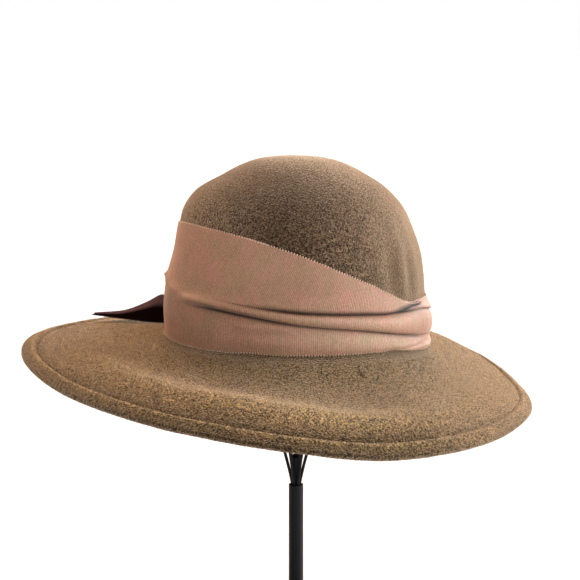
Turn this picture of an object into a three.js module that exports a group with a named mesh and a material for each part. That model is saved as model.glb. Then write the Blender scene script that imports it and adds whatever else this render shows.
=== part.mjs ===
// A wide-brimmed felt hat with a draped ribbon band, held on a plain wire stand.
// Millimetres, +Z up, +X towards the hat's front. The origin is the middle of the stand's flat foot.
// The hat is one piece of felt, blocked into a crown and a brim, with the edge folded under and stitched.
import * as THREE from "three";

// Azimuths are degrees about the crown's upright axis: 0 is the front (+X), -90 the wearer's right (-Y).
const DEGREE = Math.PI / 180;

// Heights of the hat above the table
const JOIN_HEIGHT = 235; // level of the crown's foot, above the table
const CROWN_HEIGHT = 132.6;

// Felt
const FELT = 2;
const FILLET = 6; // how far the bend between crown and brim reaches along each
const WELT_WIDTH = 10; // the edge folded under and stitched
const WELT_RISE = 0.9; // how far the folded edge stands above the brim
const GROOVE_DEPTH = 0.5; // the stitched line at its inner side
const EDGE_RADIUS = FELT; // the folded edge is two felts thick

// Ribbon
const RIBBON = 1.2;
const PANEL_SHARE = 0.35; // how far the flat stretches stand out, as a share of the roll
const LIP = 1.5; // how far a fold's lip stands above or below its crease
const GAP = 0.3; // between pieces that touch

// Mesh steps round the hat
const FELT_STEPS = 60;
const BAND_STEPS = 60;

// The crown's sections, from its foot to its top
const CROWN = [
  { height: 0, front: 96.5, back: 96.5, side: 84 },
  { height: 22, front: 96.3, back: 96.5, side: 84 },
  { height: 44, front: 95, back: 93.8, side: 83 },
  { height: 64, front: 91.8, back: 88.8, side: 80.3 },
  { height: 82, front: 85.3, back: 86, side: 75.5 },
  { height: 97, front: 77, back: 82, side: 69 },
  { height: 109, front: 65.5, back: 72, side: 60 },
  { height: 118.5, front: 51.6, back: 56.5, side: 48.5 },
  { height: 126, front: 37, back: 41.5, side: 35.5 },
  { height: 131, front: 20.5, back: 24, side: 19.5 },
  { height: CROWN_HEIGHT, front: 0, back: 0, side: 0 },
];

// The brim by azimuth: the edge's distance from the axis, its drop below the crown's foot level,
// how strongly the middle flattens into a shelf, and the level of the bend itself.
const BRIM = [
  { azimuth: -180, reach: 204.7, drop: 7.4, shelf: 0.2, foot: 0 },
  { azimuth: -135, reach: 191.3, drop: 20.1, shelf: 0.4, foot: 0 },
  { azimuth: -90, reach: 186.5, drop: 36.6, shelf: 0.5, foot: 0 },
  { azimuth: -72, reach: 182.4, drop: 46.1, shelf: 0.45, foot: -0.4 },
  { azimuth: -55, reach: 183.9, drop: 47.1, shelf: 0.4, foot: -1 },
  { azimuth: -25, reach: 178.1, drop: 47.4, shelf: 0.3, foot: -6 },
  { azimuth: 0, reach: 177.1, drop: 49.5, shelf: 0.2, foot: -8 },
  { azimuth: 20, reach: 178.1, drop: 43.1, shelf: 0.2, foot: -4.5 },
  { azimuth: 40, reach: 184, drop: 36.7, shelf: 0.3, foot: 6 },
  { azimuth: 90, reach: 190.8, drop: 18.4, shelf: 0.3, foot: 3 },
  { azimuth: 135, reach: 200.9, drop: 13.1, shelf: 0.3, foot: 0.5 },
];

// The ribbon by azimuth: heights of its two edges (top, bottom) and two creases (upper, lower) above the
// crown's foot level, how deep each crease is (0 none, 1 full), and how far the roll between them stands out.
const BAND = [
  { azimuth: -180, top: 82, upper: 44, lower: 37, bottom: 0.5, upperDepth: 0, lowerDepth: 0.2, roll: 3.2 },
  { azimuth: -150, top: 87.5, upper: 43, lower: 38.5, bottom: 0.5, upperDepth: 0, lowerDepth: 0.4, roll: 3 },
  { azimuth: -120, top: 83, upper: 36, lower: 30, bottom: 0.5, upperDepth: 0.6, lowerDepth: 1, roll: 3.4 },
  { azimuth: -90, top: 68.7, upper: 30.8, lower: 22.2, bottom: 0.5, upperDepth: 1, lowerDepth: 1, roll: 3.8 },
  { azimuth: -60, top: 44.2, upper: 28, lower: 15.6, bottom: 0, upperDepth: 1, lowerDepth: 1, roll: 4.2 },
  { azimuth: -38, top: 29.6, upper: 26, lower: 9, bottom: -3, upperDepth: 1, lowerDepth: 1, roll: 4.6 },
  { azimuth: -20, top: 30, upper: 23.9, lower: 3.6, bottom: -7.5, upperDepth: 0.8, lowerDepth: 0.8, roll: 5 },
  { azimuth: 0, top: 27.6, upper: 19.5, lower: 1.5, bottom: -8.5, upperDepth: 0.8, lowerDepth: 0.6, roll: 5 },
  { azimuth: 20, top: 30, upper: 21, lower: 5.5, bottom: -4.6, upperDepth: 0.8, lowerDepth: 0.6, roll: 4.8 },
  { azimuth: 40, top: 32, upper: 24, lower: 13, bottom: 6, upperDepth: 0.9, lowerDepth: 0.8, roll: 4.6 },
  { azimuth: 90, top: 41, upper: 27, lower: 14, bottom: 3.3, upperDepth: 1, lowerDepth: 1, roll: 4.2 },
  { azimuth: 135, top: 47, upper: 31, lower: 17, bottom: 0.5, upperDepth: 1, lowerDepth: 1, roll: 3.6 },
  { azimuth: 160, top: 58, upper: 35, lower: 24, bottom: 0.5, upperDepth: 0.6, lowerDepth: 0.8, roll: 3.4 },
];

// Steps down the band's inner face, from its top to its bottom
const INNER_SHARES = [1, 0.88, 0.76, 0.64, 0.52, 0.4, 0.28, 0.17, 0.08, 0];

// The knot that wraps the band at the back: how far round it reaches each way, its thickness at the sides,
// how much it swells in the middle, and how far it stays inside the band's edges
const KNOT = { azimuth: 148, halfAngle: 8, thickness: 2.4, swell: 2.2, inset: 2, clear: 0.6, least: 4.4 };

// The ribbon's free end: a strip from the knot out over the brim, folded to a point. Each row has its
// lower edge's place and height above the brim, the strip's width and how far it leans back (90 is flat).
const TAIL_THICKNESS = 1;
const TAIL_STEPS = 3; // between two rows
const TAIL = [
  { x: -95, y: 38, clear: 1.2, width: 22, lean: 5 },
  { x: -107, y: 47, clear: 1.2, width: 24, lean: 38 },
  { x: -117, y: 54, clear: 1.6, width: 27, lean: 66 },
  { x: -132, y: 62, clear: 3, width: 28, lean: 82 },
  { x: -146, y: 68, clear: 4, width: 20, lean: 84 },
  { x: -157, y: 71, clear: 4.5, width: 7, lean: 85 },
];

// Wire stand
const WIRE_COUNT = 6;
const WIRE_RADIUS = 1.2;
const WIRE_SIDES = 8;
const NECK = -118; // mouth of the stem's socket, from the crown's foot level
const BUNDLE_RADIUS = 2.8; // circle on which the wires stand in the socket
const SOCKET_DEPTH = 12;
const PLUG = { foot: 1.3, top: 4.8, height: 22, point: 3 }; // the tapered core that spreads the wires
const CAP = { radius: 9, height: 4.6, bevel: 1.2 };
const STEM_RADIUS = 5.6;
const FLANGE = { radius: 16, height: 3, bevel: 1 };
const FOOT = { radius: 75, height: 5, bevel: 1.2 };
const ROUND_STEPS = 28;

// The wire's middle line: height from the crown's foot level, and distance from the axis
const WIRE = [
  { height: NECK - SOCKET_DEPTH + GAP, radius: BUNDLE_RADIUS },
  { height: NECK - 4, radius: BUNDLE_RADIUS },
  { height: NECK + 2, radius: 3.1 },
  { height: -96, radius: 7.7 },
  { height: -62, radius: 17.5 },
  { height: -22, radius: 35 },
  { height: 20, radius: 55 },
  { height: 60, radius: 65 },
  { height: 92, radius: 57 },
  { height: 113, radius: 39 },
  { height: 124.5, radius: 20 },
];

// Materials
const felt = new THREE.MeshStandardMaterial({ color: 0x8c7054, roughness: 0.95, metalness: 0 });
const ribbon = new THREE.MeshStandardMaterial({ color: 0xb08470, roughness: 0.8, metalness: 0 });
const darkRibbon = new THREE.MeshStandardMaterial({ color: 0x2c2022, roughness: 0.7, metalness: 0 });
const wire = new THREE.MeshStandardMaterial({ color: 0x101214, roughness: 0.4, metalness: 0.6 });

// Cubic through the middle two of four values, at t from 0 to 1
function cubic(before, start, end, after, t) {
  const slope = end - before;
  const bend = 2 * before - 5 * start + 4 * end - after;
  const twist = 3 * start - before - 3 * end + after;
  return 0.5 * (2 * start + slope * t + bend * t * t + twist * t * t * t);
}

// A column of a table by azimuth, read smoothly round the hat
function around(table, column, azimuth) {
  const count = table.length;
  const first = table[0].azimuth;
  const turned = ((((azimuth - first) % 360) + 360) % 360) + first;
  let row = count - 1;
  while (table[row].azimuth > turned) row -= 1;
  const angle = (k) => table[(k + count) % count].azimuth + 360 * Math.floor(k / count);
  const value = (k) => table[(k + count) % count][column];
  const span = angle(row + 1) - angle(row);
  const t = (turned - angle(row)) / span;
  const startSlope = ((value(row + 1) - value(row - 1)) / (angle(row + 1) - angle(row - 1))) * span;
  const endSlope = ((value(row + 2) - value(row)) / (angle(row + 2) - angle(row))) * span;
  const t2 = t * t;
  const t3 = t2 * t;
  const level = (2 * t3 - 3 * t2 + 1) * value(row) + (3 * t2 - 2 * t3) * value(row + 1);
  return level + (t3 - 2 * t2 + t) * startSlope + (t3 - t2) * endSlope;
}

// The crown's section at a share of its rows: 0 at the foot, 1 at the top, where the sides meet
function crownSection(share) {
  const last = CROWN.length - 1;
  const place = Math.min(Math.max(share, 0), 1) * last;
  const row = Math.min(Math.floor(place), last - 1);
  const read = (k, column) => {
    if (k < 0) return 2 * CROWN[0][column] - CROWN[1][column];
    if (k <= last) return CROWN[k][column];
    const mirrored = CROWN[2 * last - k][column];
    return column === "height" ? mirrored : -mirrored;
  };
  const section = {};
  for (const column of ["height", "front", "back", "side"]) {
    const four = [row - 1, row, row + 1, row + 2].map((k) => read(k, column));
    section[column] = cubic(...four, place - row);
  }
  return section;
}

function crownShareAt(height) {
  let low = 0;
  let high = 1;
  for (let i = 0; i < 30; i += 1) {
    const middle = (low + high) / 2;
    if (crownSection(middle).height < height) low = middle;
    else high = middle;
  }
  return (low + high) / 2;
}

function crownPoint(azimuth, share) {
  const section = crownSection(share);
  const across = Math.cos(azimuth * DEGREE);
  const halfLength = across > 0 ? section.front : section.back;
  return new THREE.Vector3(halfLength * across, section.side * Math.sin(azimuth * DEGREE), section.height);
}

function crownPointAt(azimuth, height) {
  if (height > 0) return crownPoint(azimuth, crownShareAt(height));
  return crownPoint(azimuth, 0).setZ(height);
}

function brimEnds(azimuth) {
  const foot = around(BRIM, "foot", azimuth);
  const reach = around(BRIM, "reach", azimuth) - EDGE_RADIUS;
  const start = crownPointAt(azimuth, foot);
  const across = new THREE.Vector3(Math.cos(azimuth * DEGREE), Math.sin(azimuth * DEGREE), 0);
  const end = across.multiplyScalar(reach).setZ(-around(BRIM, "drop", azimuth));
  return { start, end, width: start.distanceTo(end) };
}

// The brim's top at a share of its width: 0 at the bend, 1 at the edge
function brimPoint(azimuth, share) {
  const { start, end } = brimEnds(azimuth);
  const shelf = around(BRIM, "shelf", azimuth);
  const fall = share + (shelf * Math.sin(2 * Math.PI * share)) / (2 * Math.PI);
  const point = start.clone().lerp(end, share);
  return point.setZ(start.z + (end.z - start.z) * fall);
}

// The felt's top, by the distance from the bend: up the crown if positive, out along the brim if negative
function feltPoint(azimuth, along) {
  const { width } = brimEnds(azimuth);
  const foot = around(BRIM, "foot", azimuth);
  if (along >= FILLET) return crownPointAt(azimuth, foot + along);
  if (along <= -FILLET) return brimPoint(azimuth, -along / width);
  const t = (FILLET - along) / (2 * FILLET);
  const above = crownPointAt(azimuth, foot + FILLET).multiplyScalar((1 - t) * (1 - t));
  const corner = crownPointAt(azimuth, foot).multiplyScalar(2 * t * (1 - t));
  const beyond = brimPoint(azimuth, FILLET / width).multiplyScalar(t * t);
  return above.add(corner).add(beyond);
}

// The direction out of the felt at a place given by a function of azimuth and a second value
function outOf(place, azimuth, value, step) {
  const turn = place(azimuth + 1, value).sub(place(azimuth - 1, value));
  const rise = place(azimuth, value + step).sub(place(azimuth, value - step));
  return turn.cross(rise).normalize();
}

// A closed body from rings of points, each ring running the same way round. A ring of one point is a pole;
// without poles, the last ring joins the first.
function loft(rings) {
  const positions = [];
  const starts = [];
  for (const ring of rings) {
    starts.push(positions.length / 3);
    for (const point of ring) positions.push(point.x, point.y, point.z);
  }
  const faces = [];
  const closed = rings[0].length > 1;
  const pairs = closed ? rings.length : rings.length - 1;
  for (let i = 0; i < pairs; i += 1) {
    const j = (i + 1) % rings.length;
    const count = Math.max(rings[i].length, rings[j].length);
    const at = (ring, k) => starts[ring] + (rings[ring].length === 1 ? 0 : k % count);
    for (let k = 0; k < count; k += 1) {
      if (rings[i].length > 1) faces.push(at(i, k), at(j, k), at(i, k + 1));
      if (rings[j].length > 1) faces.push(at(i, k + 1), at(j, k), at(j, k + 1));
    }
  }
  const geometry = new THREE.BufferGeometry();
  geometry.setAttribute("position", new THREE.Float32BufferAttribute(positions, 3));
  geometry.setIndex(faces);
  geometry.computeVertexNormals();
  return geometry;
}

// A closed body between two sheets of points, front and back, each an array of equal rows
function sheet(front, back) {
  const rings = front.map((row, i) => [...row, ...[...back[i]].reverse()]);
  const middle = (ring) => {
    const sum = ring.reduce((total, point) => total.add(point), new THREE.Vector3());
    return sum.divideScalar(ring.length);
  };
  return loft([[middle(rings[0])], ...rings, [middle(rings[rings.length - 1])]]);
}

function turnSteps(count) {
  return Array.from({ length: count }, (_, k) => (360 * k) / count - 180);
}

// Felt: one ring of points round the hat, moved out of the surface by a depth
function feltRing(place, value, step, depth) {
  return turnSteps(FELT_STEPS).map((azimuth) => {
    const direction = outOf(place, azimuth, value, step);
    return place(azimuth, value).addScaledVector(direction, depth);
  });
}

const crownPlace = (azimuth, share) => crownPoint(azimuth, share);
const brimPlace = (azimuth, inset) => feltPoint(azimuth, -(brimEnds(azimuth).width - inset));

// The edge's round nose, by the angle from the top face
function noseRing(angle) {
  const middleDepth = WELT_RISE / 2 - FELT;
  const radius = WELT_RISE / 2 + FELT;
  return turnSteps(FELT_STEPS).map((azimuth) => {
    const up = outOf(brimPlace, azimuth, 0.5, 0.5);
    const outward = brimPlace(azimuth, 0).sub(brimPlace(azimuth, 1)).normalize();
    const nose = brimPlace(azimuth, 0).addScaledVector(up, middleDepth + radius * Math.cos(angle * DEGREE));
    return nose.addScaledVector(outward, EDGE_RADIUS * Math.sin(angle * DEGREE));
  });
}

function feltBody() {
  const crownShares = [0.96, 0.9, 0.84, 0.78, 0.72, 0.66, 0.6, 0.54, 0.48, 0.4, 0.3, 0.2, 0.1];
  const bends = [1, 0.5, 0, -0.5, -1].map((share) => share * FILLET);
  const brimShares = [0.14, 0.26, 0.38, 0.5, 0.62, 0.74];
  const inset = WELT_WIDTH;
  const crown = (share, depth) => feltRing(crownPlace, share, 0.01, depth);
  const bend = (along, depth) => feltRing(feltPoint, along, 0.5, depth);
  const brim = (share, depth) => turnSteps(FELT_STEPS).map((azimuth) => {
    const along = -share * brimEnds(azimuth).width;
    return feltPoint(azimuth, along).addScaledVector(outOf(feltPoint, azimuth, along, 1), depth);
  });
  const edge = (distance, depth) => feltRing(brimPlace, distance, 0.5, depth);
  const top = new THREE.Vector3(0, 0, CROWN_HEIGHT);
  const rings = [[top]];
  for (const share of crownShares) rings.push(crown(share, 0));
  for (const along of bends) rings.push(bend(along, 0));
  for (const share of brimShares) rings.push(brim(share, 0));
  rings.push(edge(inset + 4, 0), edge(inset + 1.2, -GROOVE_DEPTH), edge(inset - 1.4, WELT_RISE * 0.7));
  rings.push(edge(inset / 2, WELT_RISE));
  for (const angle of [0, 50, 90, 130, 180]) rings.push(noseRing(angle));
  rings.push(edge(inset / 2, -2 * FELT), edge(inset - 0.8, -2 * FELT), edge(inset, -FELT));
  for (const share of [0.74, 0.5, 0.26, 0.14]) rings.push(brim(share, -FELT));
  for (const along of [-1, 0, 1]) rings.push(bend(along * FILLET, -FELT));
  const innerShares = crownShares.filter((_, k) => k % 2 === 0).reverse();
  for (const share of innerShares) rings.push(crown(share, -FELT));
  rings.push([top.clone().setZ(CROWN_HEIGHT - FELT)]);
  return loft(rings);
}

// Ribbon band: its section at an azimuth, as heights and distances out of the felt
function bandSection(azimuth) {
  const read = (column) => around(BAND, column, azimuth);
  const foot = around(BRIM, "foot", azimuth);
  const [top, upper, lower, roll] = [read("top"), read("upper"), read("lower"), read("roll")];
  const bottom = Math.max(read("bottom"), foot - 1);
  const mix = (from, to, share) => from + (to - from) * share;
  const face = GAP + RIBBON;
  const panel = face + roll * PANEL_SHARE;
  const lip = Math.min(LIP, (top - upper) / 4);
  const outer = [
    { height: bottom, out: mix(face, panel, 0.6) },
    { height: mix(bottom, lower, 0.5), out: panel },
    { height: lower - LIP, out: panel },
    { height: lower, out: mix(face + roll * 0.7, face, read("lowerDepth")) },
    { height: lower + LIP, out: face + roll * 0.8 },
    { height: mix(lower, upper, 0.5), out: face + roll },
    { height: upper - LIP, out: face + roll * 0.7 },
    { height: upper, out: mix(face + roll * 0.6, face, read("upperDepth")) },
    { height: upper + lip, out: face + roll * 0.5 },
    { height: mix(upper, top, 0.5), out: mix(face, panel, 0.6) },
    { height: top, out: face },
  ];
  const inner = INNER_SHARES.map((share) => ({ height: mix(bottom, top, share), out: GAP }));
  return { outer, points: [...outer, ...inner] };
}

function ribbonPoint(azimuth, height, out) {
  const along = height - around(BRIM, "foot", azimuth);
  return feltPoint(azimuth, along).addScaledVector(outOf(feltPoint, azimuth, along, 0.5), out);
}

function ribbonBand() {
  const sections = turnSteps(BAND_STEPS).map((azimuth) => {
    return bandSection(azimuth).points.map((place) => ribbonPoint(azimuth, place.height, place.out));
  });
  const rings = sections[0].map((_, row) => sections.map((section) => section[row]));
  return loft(rings.reverse());
}

// How far the band stands out of the felt at a height
function bandOut(azimuth, height) {
  const { outer } = bandSection(azimuth);
  const above = outer.findIndex((place) => place.height >= height);
  if (above === 0) return outer[0].out;
  if (above < 0) return outer[outer.length - 1].out;
  const [low, high] = [outer[above - 1], outer[above]];
  return low.out + ((high.out - low.out) * (height - low.height)) / (high.height - low.height);
}

function ribbonKnot() {
  const columns = [-1, -0.6, -0.2, 0.2, 0.6, 1];
  const rows = [0, 0.08, 0.2, 0.35, 0.5, 0.65, 0.8, 0.92, 1];
  const bottom = around(BAND, "bottom", KNOT.azimuth) + KNOT.inset;
  const top = around(BAND, "top", KNOT.azimuth) - KNOT.inset;
  const grid = (thickness) => columns.map((column) => rows.map((row) => {
    const azimuth = KNOT.azimuth + KNOT.halfAngle * column;
    const height = bottom + (top - bottom) * row;
    const seat = Math.max(bandOut(azimuth, height), KNOT.least) + KNOT.clear;
    return ribbonPoint(azimuth, height, seat + thickness(column, row));
  }));
  const swell = (column, row) => Math.sqrt(Math.max(0, 1 - column * column)) * Math.sin(Math.PI * row);
  return sheet(grid((column, row) => KNOT.thickness + KNOT.swell * swell(column, row)), grid(() => 0));
}

function brimHeight(x, y) {
  const azimuth = Math.atan2(y, x) / DEGREE;
  const { start, end } = brimEnds(azimuth);
  const near = Math.hypot(start.x, start.y);
  const share = (Math.hypot(x, y) - near) / (Math.hypot(end.x, end.y) - near);
  return brimPoint(azimuth, share).z;
}

// A row of the tail's table, read smoothly between its rows
function tailRow(place) {
  const last = TAIL.length - 1;
  const row = Math.min(Math.floor(place), last - 1);
  const read = (k, column) => TAIL[Math.min(Math.max(k, 0), last)][column];
  const smooth = {};
  for (const column of Object.keys(TAIL[0])) {
    const four = [row - 1, row, row + 1, row + 2].map((k) => read(k, column));
    smooth[column] = cubic(...four, place - row);
  }
  smooth.edge = new THREE.Vector3(smooth.x, smooth.y, brimHeight(smooth.x, smooth.y) + smooth.clear);
  return smooth;
}

function ribbonTail() {
  const across = [0, 0.25, 0.5, 0.75, 1];
  const count = (TAIL.length - 1) * TAIL_STEPS;
  const rows = Array.from({ length: count + 1 }, (_, k) => tailRow(k / TAIL_STEPS));
  const grid = (side) => rows.map((row, i) => {
    const ahead = rows[Math.min(i + 1, count)].edge.clone().sub(rows[Math.max(i - 1, 0)].edge).normalize();
    const upright = new THREE.Vector3(0, 0, 1).applyAxisAngle(ahead, row.lean * DEGREE);
    const rise = upright.addScaledVector(ahead, -upright.dot(ahead)).normalize();
    const outward = ahead.clone().cross(rise).normalize();
    return across.map((share) => {
      const point = row.edge.clone().addScaledVector(rise, share * row.width);
      return point.addScaledVector(outward, (side * TAIL_THICKNESS) / 2);
    });
  });
  return sheet(grid(1), grid(-1));
}

// Stand: a wire from the stem's socket out and up to the cap
function standWire() {
  const rows = [...WIRE, { height: CROWN_HEIGHT - FELT - GAP - CAP.height / 2, radius: CAP.radius + GAP }];
  const last = rows.length - 1;
  const read = (k, column) => rows[Math.min(Math.max(k, 0), last)][column];
  const middles = [];
  for (let row = 0; row <= last; row += 1) {
    const shares = row > 2 && row < last ? [0, 0.5] : [0];
    for (const share of shares) {
      const four = (column) => [row - 1, row, row + 1, row + 2].map((k) => read(k, column));
      const place = new THREE.Vector3(cubic(...four("radius"), share), 0, cubic(...four("height"), share));
      middles.push(place);
    }
  }
  const end = middles.length - 1;
  const rings = middles.map((middle, i) => {
    const ahead = middles[Math.min(i + 1, end)].clone().sub(middles[Math.max(i - 1, 0)]).normalize();
    const aside = new THREE.Vector3(0, 1, 0);
    const inward = aside.clone().cross(ahead);
    return Array.from({ length: WIRE_SIDES }, (_, k) => {
      const angle = (2 * Math.PI * k) / WIRE_SIDES;
      const point = middle.clone().addScaledVector(inward, WIRE_RADIUS * Math.cos(angle));
      return point.addScaledVector(aside, WIRE_RADIUS * Math.sin(angle));
    });
  });
  return loft([[middles[end]], ...rings.reverse(), [middles[0]]]);
}

function turned(profile) {
  const points = profile.map(([radius, height]) => new THREE.Vector2(radius, height));
  return new THREE.LatheGeometry(points, ROUND_STEPS).rotateX(Math.PI / 2);
}

// The small turned cap on which the crown rests
function standCap() {
  const top = CROWN_HEIGHT - FELT - GAP;
  const { radius, height, bevel } = CAP;
  const bottom = top - height;
  return turned([[0, bottom], [radius, bottom], [radius, top - bevel], [radius - bevel, top], [0, top]]);
}

// The stem: a flange on the foot, a plain rod, and a socket that holds the wires round a tapered core
function standStem() {
  const mouth = JOIN_HEIGHT + NECK;
  const bore = BUNDLE_RADIUS + WIRE_RADIUS + GAP;
  const start = FOOT.height;
  return turned([
    [0, start],
    [FLANGE.radius, start],
    [FLANGE.radius, start + FLANGE.height - FLANGE.bevel],
    [FLANGE.radius - FLANGE.bevel, start + FLANGE.height],
    [STEM_RADIUS, start + FLANGE.height],
    [STEM_RADIUS, mouth],
    [bore, mouth],
    [bore, mouth - SOCKET_DEPTH],
    [PLUG.foot, mouth - SOCKET_DEPTH],
    [PLUG.foot, mouth + 1],
    [PLUG.top, mouth + PLUG.height],
    [0, mouth + PLUG.height + PLUG.point],
  ]);
}

function standFoot() {
  const { radius, height, bevel } = FOOT;
  return turned([[0, 0], [radius, 0], [radius, height - bevel], [radius - bevel, height], [0, height]]);
}

const part = new THREE.Group();
const hat = new THREE.Group();
hat.position.z = JOIN_HEIGHT;
part.add(hat);

function addPiece(parent, name, geometry, material) {
  const mesh = new THREE.Mesh(geometry, material);
  mesh.name = name;
  parent.add(mesh);
  return mesh;
}

addPiece(hat, "felt_body", feltBody(), felt);
addPiece(hat, "ribbon_band", ribbonBand(), ribbon);
addPiece(hat, "ribbon_knot", ribbonKnot(), ribbon);
addPiece(hat, "ribbon_tail", ribbonTail(), darkRibbon);
for (let k = 0; k < WIRE_COUNT; k += 1) {
  const strand = addPiece(hat, `stand_wire_${k + 1}`, standWire(), wire);
  strand.rotation.z = (2 * Math.PI * k) / WIRE_COUNT;
}
addPiece(hat, "stand_cap", standCap(), wire);
addPiece(part, "stand_stem", standStem(), wire);
addPiece(part, "stand_foot", standFoot(), wire);

export default part;
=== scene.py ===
# A wide-brimmed felt hat with a draped ribbon band, on a wire stand.
# The shape tables are in millimetres and degrees; every mesh is turned into metres as it is made.
# Azimuth 0 is the hat's front (+X), -90 the side towards the camera.
import math

import bpy
import numpy as np
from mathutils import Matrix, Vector, noise


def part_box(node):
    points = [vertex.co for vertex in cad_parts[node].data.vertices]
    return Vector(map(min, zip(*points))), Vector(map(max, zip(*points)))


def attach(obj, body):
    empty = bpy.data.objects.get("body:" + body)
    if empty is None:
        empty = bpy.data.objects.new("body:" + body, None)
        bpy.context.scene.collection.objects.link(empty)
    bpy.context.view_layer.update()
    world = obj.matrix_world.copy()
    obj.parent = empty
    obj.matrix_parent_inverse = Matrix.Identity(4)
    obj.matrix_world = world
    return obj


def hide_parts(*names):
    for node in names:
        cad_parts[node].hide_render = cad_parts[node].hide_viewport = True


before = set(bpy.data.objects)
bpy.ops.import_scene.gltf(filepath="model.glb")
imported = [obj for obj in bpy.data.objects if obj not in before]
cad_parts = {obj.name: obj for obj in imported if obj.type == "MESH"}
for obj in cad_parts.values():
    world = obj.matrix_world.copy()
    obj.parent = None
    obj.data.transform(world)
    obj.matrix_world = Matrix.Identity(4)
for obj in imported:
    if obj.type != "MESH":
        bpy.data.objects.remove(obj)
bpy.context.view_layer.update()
print("frame loaded")

mm = 0.001
crownHeight = 132.6
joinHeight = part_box("felt_body")[1].z / mm - crownHeight  # level of the crown's foot above the table


# Tables are rows of values, with the names of their columns
def makeRows(columns, *rows):
    return [dict(zip(columns.split(), row)) for row in rows]


# Sections of the crown from its foot to its top: height, half length to front and back, half width
crownRows = makeRows(
    "height front back side",
    (0, 96.5, 96.5, 84),
    (22, 96.3, 96.5, 84),
    (44, 95, 93.8, 83),
    (64, 91.8, 88.8, 80.3),
    (82, 85.3, 86, 75.5),
    (97, 77, 82, 69),
    (109, 65.5, 72, 60),
    (118.5, 51.6, 56.5, 48.5),
    (126, 37, 41.5, 35.5),
    (131, 20.5, 24, 19.5),
    (crownHeight, 0, 0, 0),
)

# The brim: reach of the edge, its drop, how much the middle flattens, level of the bend at the crown,
# how high its soft ridge rises and at which share of its width, and how wide the folded edge is. Reach and
# drop are the result of a program's fit to the hat's outline.
brimRows = makeRows(
    "azimuth reach drop shelf foot ridge ridgeAt welt",
    (-180, 204.7, 7.4, 0.4, 0, 0.5, 0.57, 9),
    (-135, 191.3, 20.1, 0.7, 0, 3.6, 0.62, 9.4),
    (-90, 186.5, 36.6, 0.45, 0, 5.3, 0.71, 8.6),
    (-72, 182.4, 46.1, 0.42, -0.4, 5.3, 0.75, 8.5),
    (-55, 183.9, 47.1, 0.45, -1, 2.8, 0.77, 8.6),
    (-25, 178.1, 47.4, 0.35, -6, 0.3, 0.66, 8.3),
    (0, 177.1, 49.5, 0.25, -8, 0, 0.6, 8),
    (20, 178.1, 43.1, 0.2, -4.5, 0, 0.6, 8),
    (40, 184, 36.7, 0.3, 6, 0, 0.6, 8.2),
    (90, 190.8, 18.4, 0.3, 3, 0, 0.6, 8.2),
    (135, 200.9, 13.1, 0.3, 0.5, 0.2, 0.58, 8.6),
)

felt = {
    "thickness": 2,
    "fillet": 6,
    "weltRise": 0.7,
    "weltCrest": 2.4,  # the folded edge's rise just outside the stitched groove
    "weltStart": 0.12,  # share of the fold's width on which it rises out of the groove
    "grooveDepth": 0.8,
    "crestRight": 0.5,  # share of the crest, and of the edge's painted light and shade, that is left on the right
    "lightAndShadeRight": 0.2,
    "edgeTurn": (-40, -80),  # azimuths between which both grow to their full share, which ends at -180
    "brushedRight": (40, 80),  # where the nap is brushed flat: towards the right, by x,
    "brushedTop": (95, 125),  # and towards the top, by height
    "brushed": 0.55,  # share of the loose fibres that is gone there
    "napNose": 0.8,  # nap value on the folded edge's nose, under the brim and inside the crown
    "napUnder": 0.5,
    "napInside": 0.1,
    "columns": 360,
    "crownRings": (0.988, 0.06, 74),  # rings by share, first and last, and how many: the crown outside,
    "bendRings": (10, 8, 6, 4.5, 3, 1.5, 0, -1.5, -3, -4.5, -6),  # the bend by distance along the felt,
    "brimRings": (0.08, 0.8, 60),  # the brim's top,
    "noseAngles": (0, 25, 50, 70, 90, 110, 130, 155, 180),  # the folded edge's nose,
    "underRings": (0.82, 0.1, 26),  # the brim from below,
    "innerBend": (-6, -3, 0, 3, 6, 10),  # the bend from below
    "innerRings": (0.06, 0.988, 36),  # and the crown inside
    "crownRadius": 92,
    "waves": [(62, 0.9), (21, 0.32), (7, 0.09)],  # size and height of the unevenness
    "ridgeInner": 0.13,  # how far the brim's ridge reaches to both sides, as a share of the brim's width
    "ridgeOuter": 0.17,
    "highlightAt": -0.02,  # how far inside its crest the ridge's painted highlight is strongest
    "highlightRise": 5.3,  # the ridge's height that gives the full painted highlight
}

# The groove inside the folded edge: distance from the fold, share of its depth, and painted light and shade,
# all below 0 here: painted shade in the groove
grooveRings = [
    (7, 0, -0.1), (4.5, -0.1, -0.45), (2.6, -0.3, -0.75), (1.5, -0.6, -0.9), (0.7, -1, -1), (0, -0.5, -0.6),
]

# The fold's top: share of its width, share of the crest's height, and painted light and shade: a painted
# highlight on the crest, painted shade on its outer face
foldRings = [
    (0.08, 0.4, 0.3), (0.17, 0.8, 0.8), (0.27, 1, 1), (0.4, 0.85, 0.6), (0.6, 0.35, -0.3), (0.8, 0.1, -0.8),
]

# The fold's lower end, under the brim: distance from the fold, and depth in walls
underFold = [(-7, 2), (-3.5, 2), (-1, 2), (-0.3, 1.6), (0.3, 1)]

# Hand-shaped hollows in the crown: where, how far they reach and how deep they are
crownDents = makeRows(
    "azimuth height reach rise depth",
    (-172, 122, 34, 8, 1.2),
    (-43, 54, 5.5, 26, 2.6),
    (-29, 50, 4, 24, 1.8),
    (-16, 58, 6, 24, 0.5),
    (-96, 92, 26, 14, 1.0),
)

# Painted light and shade on the crown: lighter where the value is above 0, painted shade where it is below 0
crownLightAndShade = makeRows(
    "azimuth height reach rise rub",
    (-102, 78, 32, 20, -0.75),
    (-145, 106, 32, 14, 0.6),
    (-32, 86, 24, 24, 0.5),
)

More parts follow.
